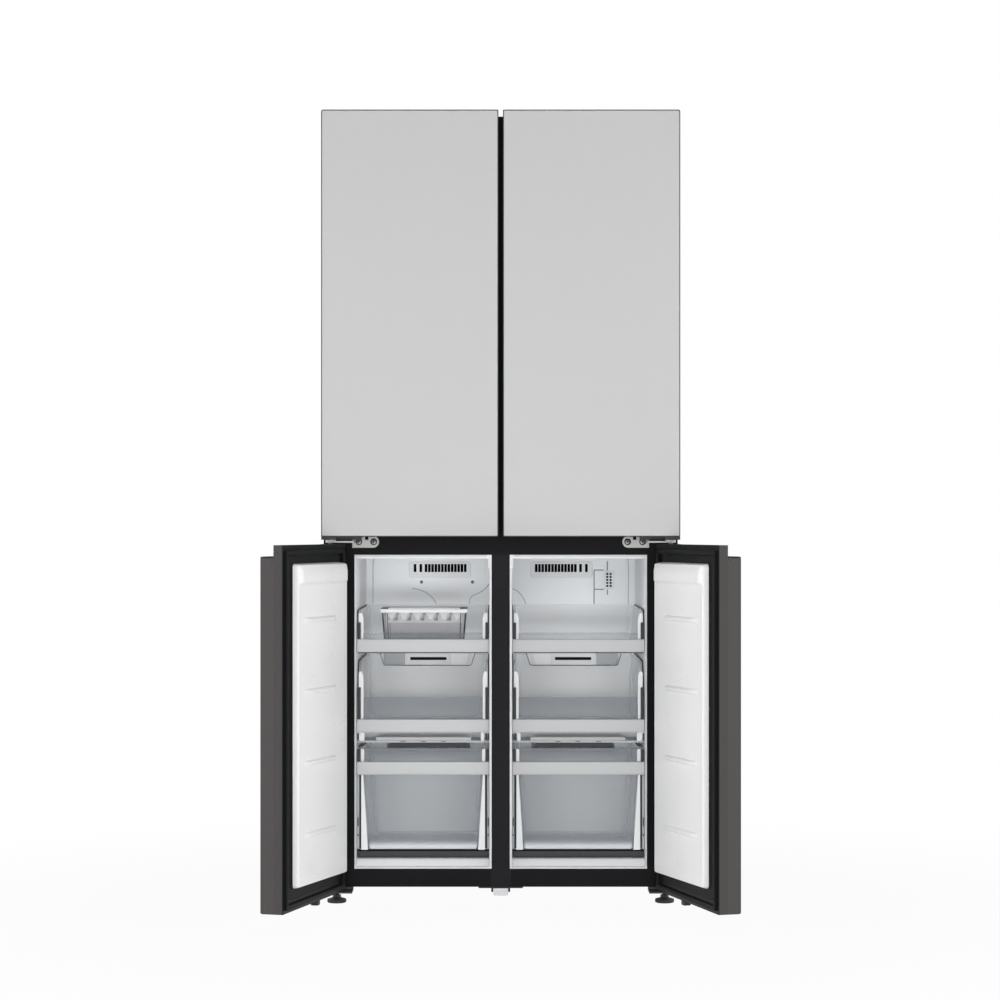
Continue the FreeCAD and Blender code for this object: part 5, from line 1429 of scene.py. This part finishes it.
class FRIDGE_OT_floor_hardware(bpy.types.Operator):
    """Turn the adjustable feet and the rear rollers, and cap the top hinges"""

    bl_idname = "fridge.floor_hardware"
    bl_label = "Floor hardware"
    # Radius, rise and depth of the notches of each ring of a foot
    disc = ((19, 0, 0), (21.6, 0.8, 0), (22.5, 2.2, 1), (22.5, 7.6, 1), (21.4, 9, 0.5), (12, 12, 0),
            (9, 12.6, 0))
    disc_steps = 96
    hub = ((3, -9.2), (13.2, -9.2), (14, -7.2), (16.6, -7.2))
    boss = ((0.0020, -0.0099), (0.0026, -0.0095), (0.0026, 0.0095), (0.0020, 0.0099))
    boss_count = 5
    tyre = ((16.4, -7.2), (17.2, -9.2), (19, -9.2), (19.9, -8.2), (20, -6))

    def execute(self, context):
        low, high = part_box("hinge_covers")
        caps = Form()
        for side, sign in SIDES.items():
            self.foot(side)
            self.roller(side)
            caps.slab((sign * 0.3775, low.y, low.z), (sign * high.x, high.y, high.z), "z", 0.009, 0.004)
            cross_screw(caps, "z", (sign * HINGE_LINE, high.y - 0.018, high.z - 0.0002), 0.0052, 0.0012)
        piece("hinge_caps", caps, "cabinet", "part_black", ["hinge_covers"])
        return {"FINISHED"}

    def foot(self, side):
        """A knurled disc, a spanner hexagon and a threaded stem."""
        low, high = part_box(f"{side}_foot")
        centre = ((low.x + high.x) / 2, (low.y + high.y) / 2, low.z)

        def around(radius, turn):
            return centre[0] + radius * math.cos(turn), centre[1] + radius * math.sin(turn)

        form = Form()
        rows = []
        for radius, rise, notch in self.disc:
            ring = []
            for step in range(self.disc_steps):
                reach = (radius - notch * (step % 4 == 0)) / 1000
                ring.append((*around(reach, 2 * math.pi * step / self.disc_steps), rise / 1000))
            rows.append(ring)
        form.skin(rows)
        nut = [around(0.0098, math.radians(60 * step)) for step in range(6)]
        form.prism("z", nut, 0.0122, 0.019, 0.0006)
        thread = [(0.0058 - 0.0008 * (step % 2), 0.0185 + 0.001 * step) for step in range(25)]
        form.turned("z", centre, thread + [(0.0045, high.z)], 24)
        body = f"{side}_foot"
        piece(f"{side}_levelling_foot", form, body, "part_black", [f"{side}_foot"])

    def roller(self, side):
        """A hub with bosses, and a tyre."""
        low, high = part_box(f"{side}_roller")
        centre = (low + high) / 2
        hub = Form()
        hub.turned("x", centre, self.both_sides(self.hub))
        for step in range(self.boss_count):
            turn = 2 * math.pi * step / self.boss_count
            hub.turned("x", centre + Vector((0, math.cos(turn), math.sin(turn))) * 0.0085, self.boss, 16)
        tyre = Form()
        tyre.turned("x", centre, self.both_sides(self.tyre), 48, True)
        body = f"{side}_roller"
        piece(f"{body}_hub", hub, body, "part_black", [f"{side}_roller"])
        piece(f"{body}_tyre", tyre, body, "tyre_grey")

    def both_sides(self, half):
        """Half a profile in millimetres and its mirror image, in metres."""
        whole = [*half, *((radius, -across) for radius, across in reversed(half))]
        return [(radius / 1000, across / 1000) for radius, across in whole]


class FRIDGE_OT_upper_rooms(bpy.types.Operator):
    """Trim the glass shelves, mould the crispers and put air ducts behind the upper doors"""

    bl_idname = "fridge.upper_rooms"
    bl_label = "Upper rooms"
    levels = 3
    pitch = 0.25

    def execute(self, context):
        sizes = context.scene.fridge_drawers
        low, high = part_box("glass_shelves")
        box_low, box_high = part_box("crisper_boxes")
        rim = sizes.rim
        trims = Form()
        crispers = Form()
        grips = Form()
        ducts = Form()
        mouth_shades = Form()
        for sign in SIDES.values():
            for level in range(self.levels):
                z = low.z + self.pitch * level
                for start, stop, foot, head in ((low.y - 0.003, low.y + 0.009, z - 0.003, z + 0.008),
                                                (high.y - 0.008, high.y + 0.002, z - 0.002, z + 0.012)):
                    trims.slab((sign * BAR_NEAR, start, foot), (sign * BAR_FAR, stop, head), "x",
                               0.003, 0.002)
            near, far = sorted((sign * 0.032, sign * box_high.x))
            tub(crispers, (near + rim, box_low.y + rim, box_low.z),
                (far - rim, box_high.y - rim, box_high.z), (0.006, 0.004, 0.006, 0.008), sizes.wall, rim,
                (0.008, 0.012), sizes.fillet, level_at(box_high.z))
            grips.slab((near + 0.002, box_low.y - 0.008, box_high.z - 0.026),
                       (far - 0.002, box_low.y + 0.003, box_high.z + 0.001), "x", 0.004, 0.002)
            ducts.take(self.duct(sign).finish("duct"))
            # Black strips behind the slots paint the shade inside the duct
            mouth_shades.slab((sign * 0.122, 0.634, 1.14), (sign * 0.244, 0.636, 1.68), "y", 0.004, 0.0004)
        piece("shelf_trims", trims, "cabinet", "handle_grey")
        piece("crisper_bins", crispers, "cabinet", "bin_clear", ["crisper_boxes"])
        piece("crisper_grips", grips, "cabinet", "handle_grey")
        piece("upper_ducts", ducts, "cabinet", "wall_grey")
        piece("upper_duct_mouths", mouth_shades, "cabinet", "shade_black")
        return {"FINISHED"}

    def duct(self, sign):
        """A plate with two slots at each shelf."""
        plate = Form(sign)
        plate.slab((0.113, 0.630, 1.075), (0.253, 0.6425, 1.76), "y", 0.012, 0.004)
        slots = Form(sign)
        for level in range(self.levels):
            z = 1.16 + self.pitch * level
            for x in (0.146, 0.220):
                slots.slab((x - 0.020, 0.62, z - 0.006), (x + 0.020, 0.66, z + 0.006), "y", 0.004, 0.0001)
        return carve(plate, slots)


class FRIDGE_OT_stage(bpy.types.Operator):
    """Set up the pale floor, the even sky, the soft lamps and the camera"""

    bl_idname = "fridge.stage"
    bl_label = "Stage"
    floor_reach = 14
    lamp_target = (0, 0.2, 0.9)
    front_power = 64
    side_power = 166
    room_middle = 0.183
    room_width = 0.306
    # Depth, foot and head of each lamp in a lower room, and its brightness at the left and at the right
    room_lamps = (
        (0.0606, 0.09, 0.816, {"left": 0.46, "right": 0.38}),
        (0.53, 0.33, 0.60, {"left": 0.12, "right": 0.115}),
        (0.53, 0.60, 0.81, {"left": 0.20, "right": 0.03}),
        (0.50, 0.60, 0.70, {"left": 0.24, "right": 0.50}),
        (0.44, 0.12, 0.36, {"left": 0.095, "right": 0.10}),
    )
    shift = (-0.0007, 0.026)

    def execute(self, context):
        scene = context.scene
        sizes = scene.fridge_stage
        self.floor(scene, sizes)
        self.sky(scene, sizes)
        self.lamp(scene, "front", (0, -3.6, 0.25), (2.4, 0.36), self.front_power)
        for side, sign in SIDES.items():
            self.lamp(scene, side, (sign * 5.0, -2.2, 1.05), (2.6, 2.6), self.side_power)
            for depth, foot, head, levels in self.room_lamps:
                width, height = self.room_width, head - foot
                power = levels[side] * math.pi * width * height
                place = (sign * self.room_middle, depth, (foot + head) / 2)
                room = self.lamp(scene, f"{side}_room", place, (width, height), power)
                room.rotation_euler = (math.pi / 2, 0, 0)
        self.camera(scene, sizes)
        scene.view_settings.view_transform = "Standard"
        return {"FINISHED"}

    def seen(self, finish):
        """1 for what the camera sees straight on, in gloss or through glass."""
        rays = [finish.node("ShaderNodeLightPath", output=name)
                for name in ("Is Camera Ray", "Is Glossy Ray", "Is Transmission Ray")]
        return rays[0] | rays[1] | rays[2]

    def floor(self, scene, sizes):
        """A wide pale floor that turns white away from the refrigerator."""
        mesh = bpy.data.meshes.new("floor")
        reach = self.floor_reach
        corners = [(-reach, -reach, 0), (reach, -reach, 0), (reach, reach, 0), (-reach, reach, 0)]
        mesh.from_pydata(corners, [], [(0, 1, 2, 3)])
        made = Surface("pale_floor")
        cloud = made.noise(0.7, 2)
        made.set(Base_Color=made.tint(0.98 + cloud * 0.04, (sizes.floor,) * 3))
        made.set(Roughness=0.9 + cloud * 0.05)
        glow = made.node("ShaderNodeEmission", None, {"Color": (1, 1, 1, 1), "Strength": 1})
        lit = Flow(made, made.shader.outputs[0])
        away = made.node("ShaderNodeVectorMath", {"operation": "LENGTH"}, {0: made.place()}, "Value")
        white = 0.945 + made.ramp(away, 0.7, 2.2) * 0.055
        mixed = made.node("ShaderNodeMixShader", None, {0: self.seen(made) * white, 1: lit, 2: glow})
        made.feed(made.tree.nodes["Material Output"].inputs["Surface"], mixed)
        mesh.materials.append(made.material)
        floor = bpy.data.objects.new("floor", mesh)
        scene.collection.objects.link(floor)

    def sky(self, scene, sizes):
        """Even light from all sides, before a white background."""
        world = bpy.data.worlds.new("even_sky")
        world.use_nodes = True
        scene.world = world
        made = Finish(world.node_tree)
        back = world.node_tree.nodes["Background"]
        made.feed(back.inputs["Color"], (1, 1, 1, 1))
        made.feed(back.inputs["Strength"], sizes.sky + self.seen(made) * (1 - sizes.sky))

    def lamp(self, scene, name, place, size, power):
        """A soft lamp turned to the refrigerator, out of sight of the camera and of gloss."""
        light = bpy.data.lights.new(name, "AREA")
        light.shape = "RECTANGLE"
        light.size, light.size_y = size
        light.energy = power
        made = bpy.data.objects.new(name, light)
        made.location = place
        made.rotation_euler = (Vector(self.lamp_target) - made.location).to_track_quat("-Z", "Y").to_euler()
        made.visible_glossy = False
        made.visible_camera = False
        scene.collection.objects.link(made)
        return made

    def camera(self, scene, sizes):
        """The camera at the photograph's viewing angle."""
        data = bpy.data.cameras.new("camera")
        data.lens = sizes.lens
        data.sensor_width = 36
        data.shift_x, data.shift_y = self.shift
        made = bpy.data.objects.new("camera", data)
        made.location = (0, -sizes.distance, sizes.height)
        made.rotation_euler = (math.pi / 2, 0, 0)
        scene.collection.objects.link(made)
        scene.camera = made


class FRIDGE_PT_panel(bpy.types.Panel):
    """Settings and steps of the refrigerator"""

    bl_idname = "FRIDGE_PT_panel"
    bl_label = "Refrigerator"
    bl_space_type = "VIEW_3D"
    bl_region_type = "UI"
    bl_category = "Refrigerator"

    def draw(self, context):
        for name in SETTINGS:
            box = self.layout.box()
            settings = getattr(context.scene, name)
            for key in settings.__annotations__:
                box.prop(settings, key)
        for step in STEPS:
            self.layout.operator(step.bl_idname)


SETTINGS = {
    "fridge_doors": DoorSettings,
    "fridge_drawers": DrawerSettings,
    "fridge_cabinet": CabinetSettings,
    "fridge_colours": ColourSettings,
    "fridge_stage": StageSettings,
}
STEPS = (
    FRIDGE_OT_finishes,
    FRIDGE_OT_door_skins,
    FRIDGE_OT_door_shells,
    FRIDGE_OT_door_seals,
    FRIDGE_OT_door_dishes,
    FRIDGE_OT_door_bins,
    FRIDGE_OT_drawers,
    FRIDGE_OT_ice_maker,
    FRIDGE_OT_liner_lips,
    FRIDGE_OT_rear_wall,
    FRIDGE_OT_room_fittings,
    FRIDGE_OT_hinges,
    FRIDGE_OT_rear_sheet,
    FRIDGE_OT_floor_hardware,
    FRIDGE_OT_upper_rooms,
    FRIDGE_OT_stage,
)


def register():
    for group in SETTINGS.values():
        bpy.utils.register_class(group)
    for step in STEPS:
        bpy.utils.register_class(step)
    bpy.utils.register_class(FRIDGE_PT_panel)
    for name, group in SETTINGS.items():
        setattr(bpy.types.Scene, name, PointerProperty(type=group))


def unregister():
    for name in SETTINGS:
        delattr(bpy.types.Scene, name)
    for made in (FRIDGE_PT_panel, *reversed(STEPS), *SETTINGS.values()):
        bpy.utils.unregister_class(made)


def main():
    register()
    for step in STEPS:
        getattr(bpy.ops.fridge, step.bl_idname.split(".")[1])()


if __name__ == "__main__":
    main()
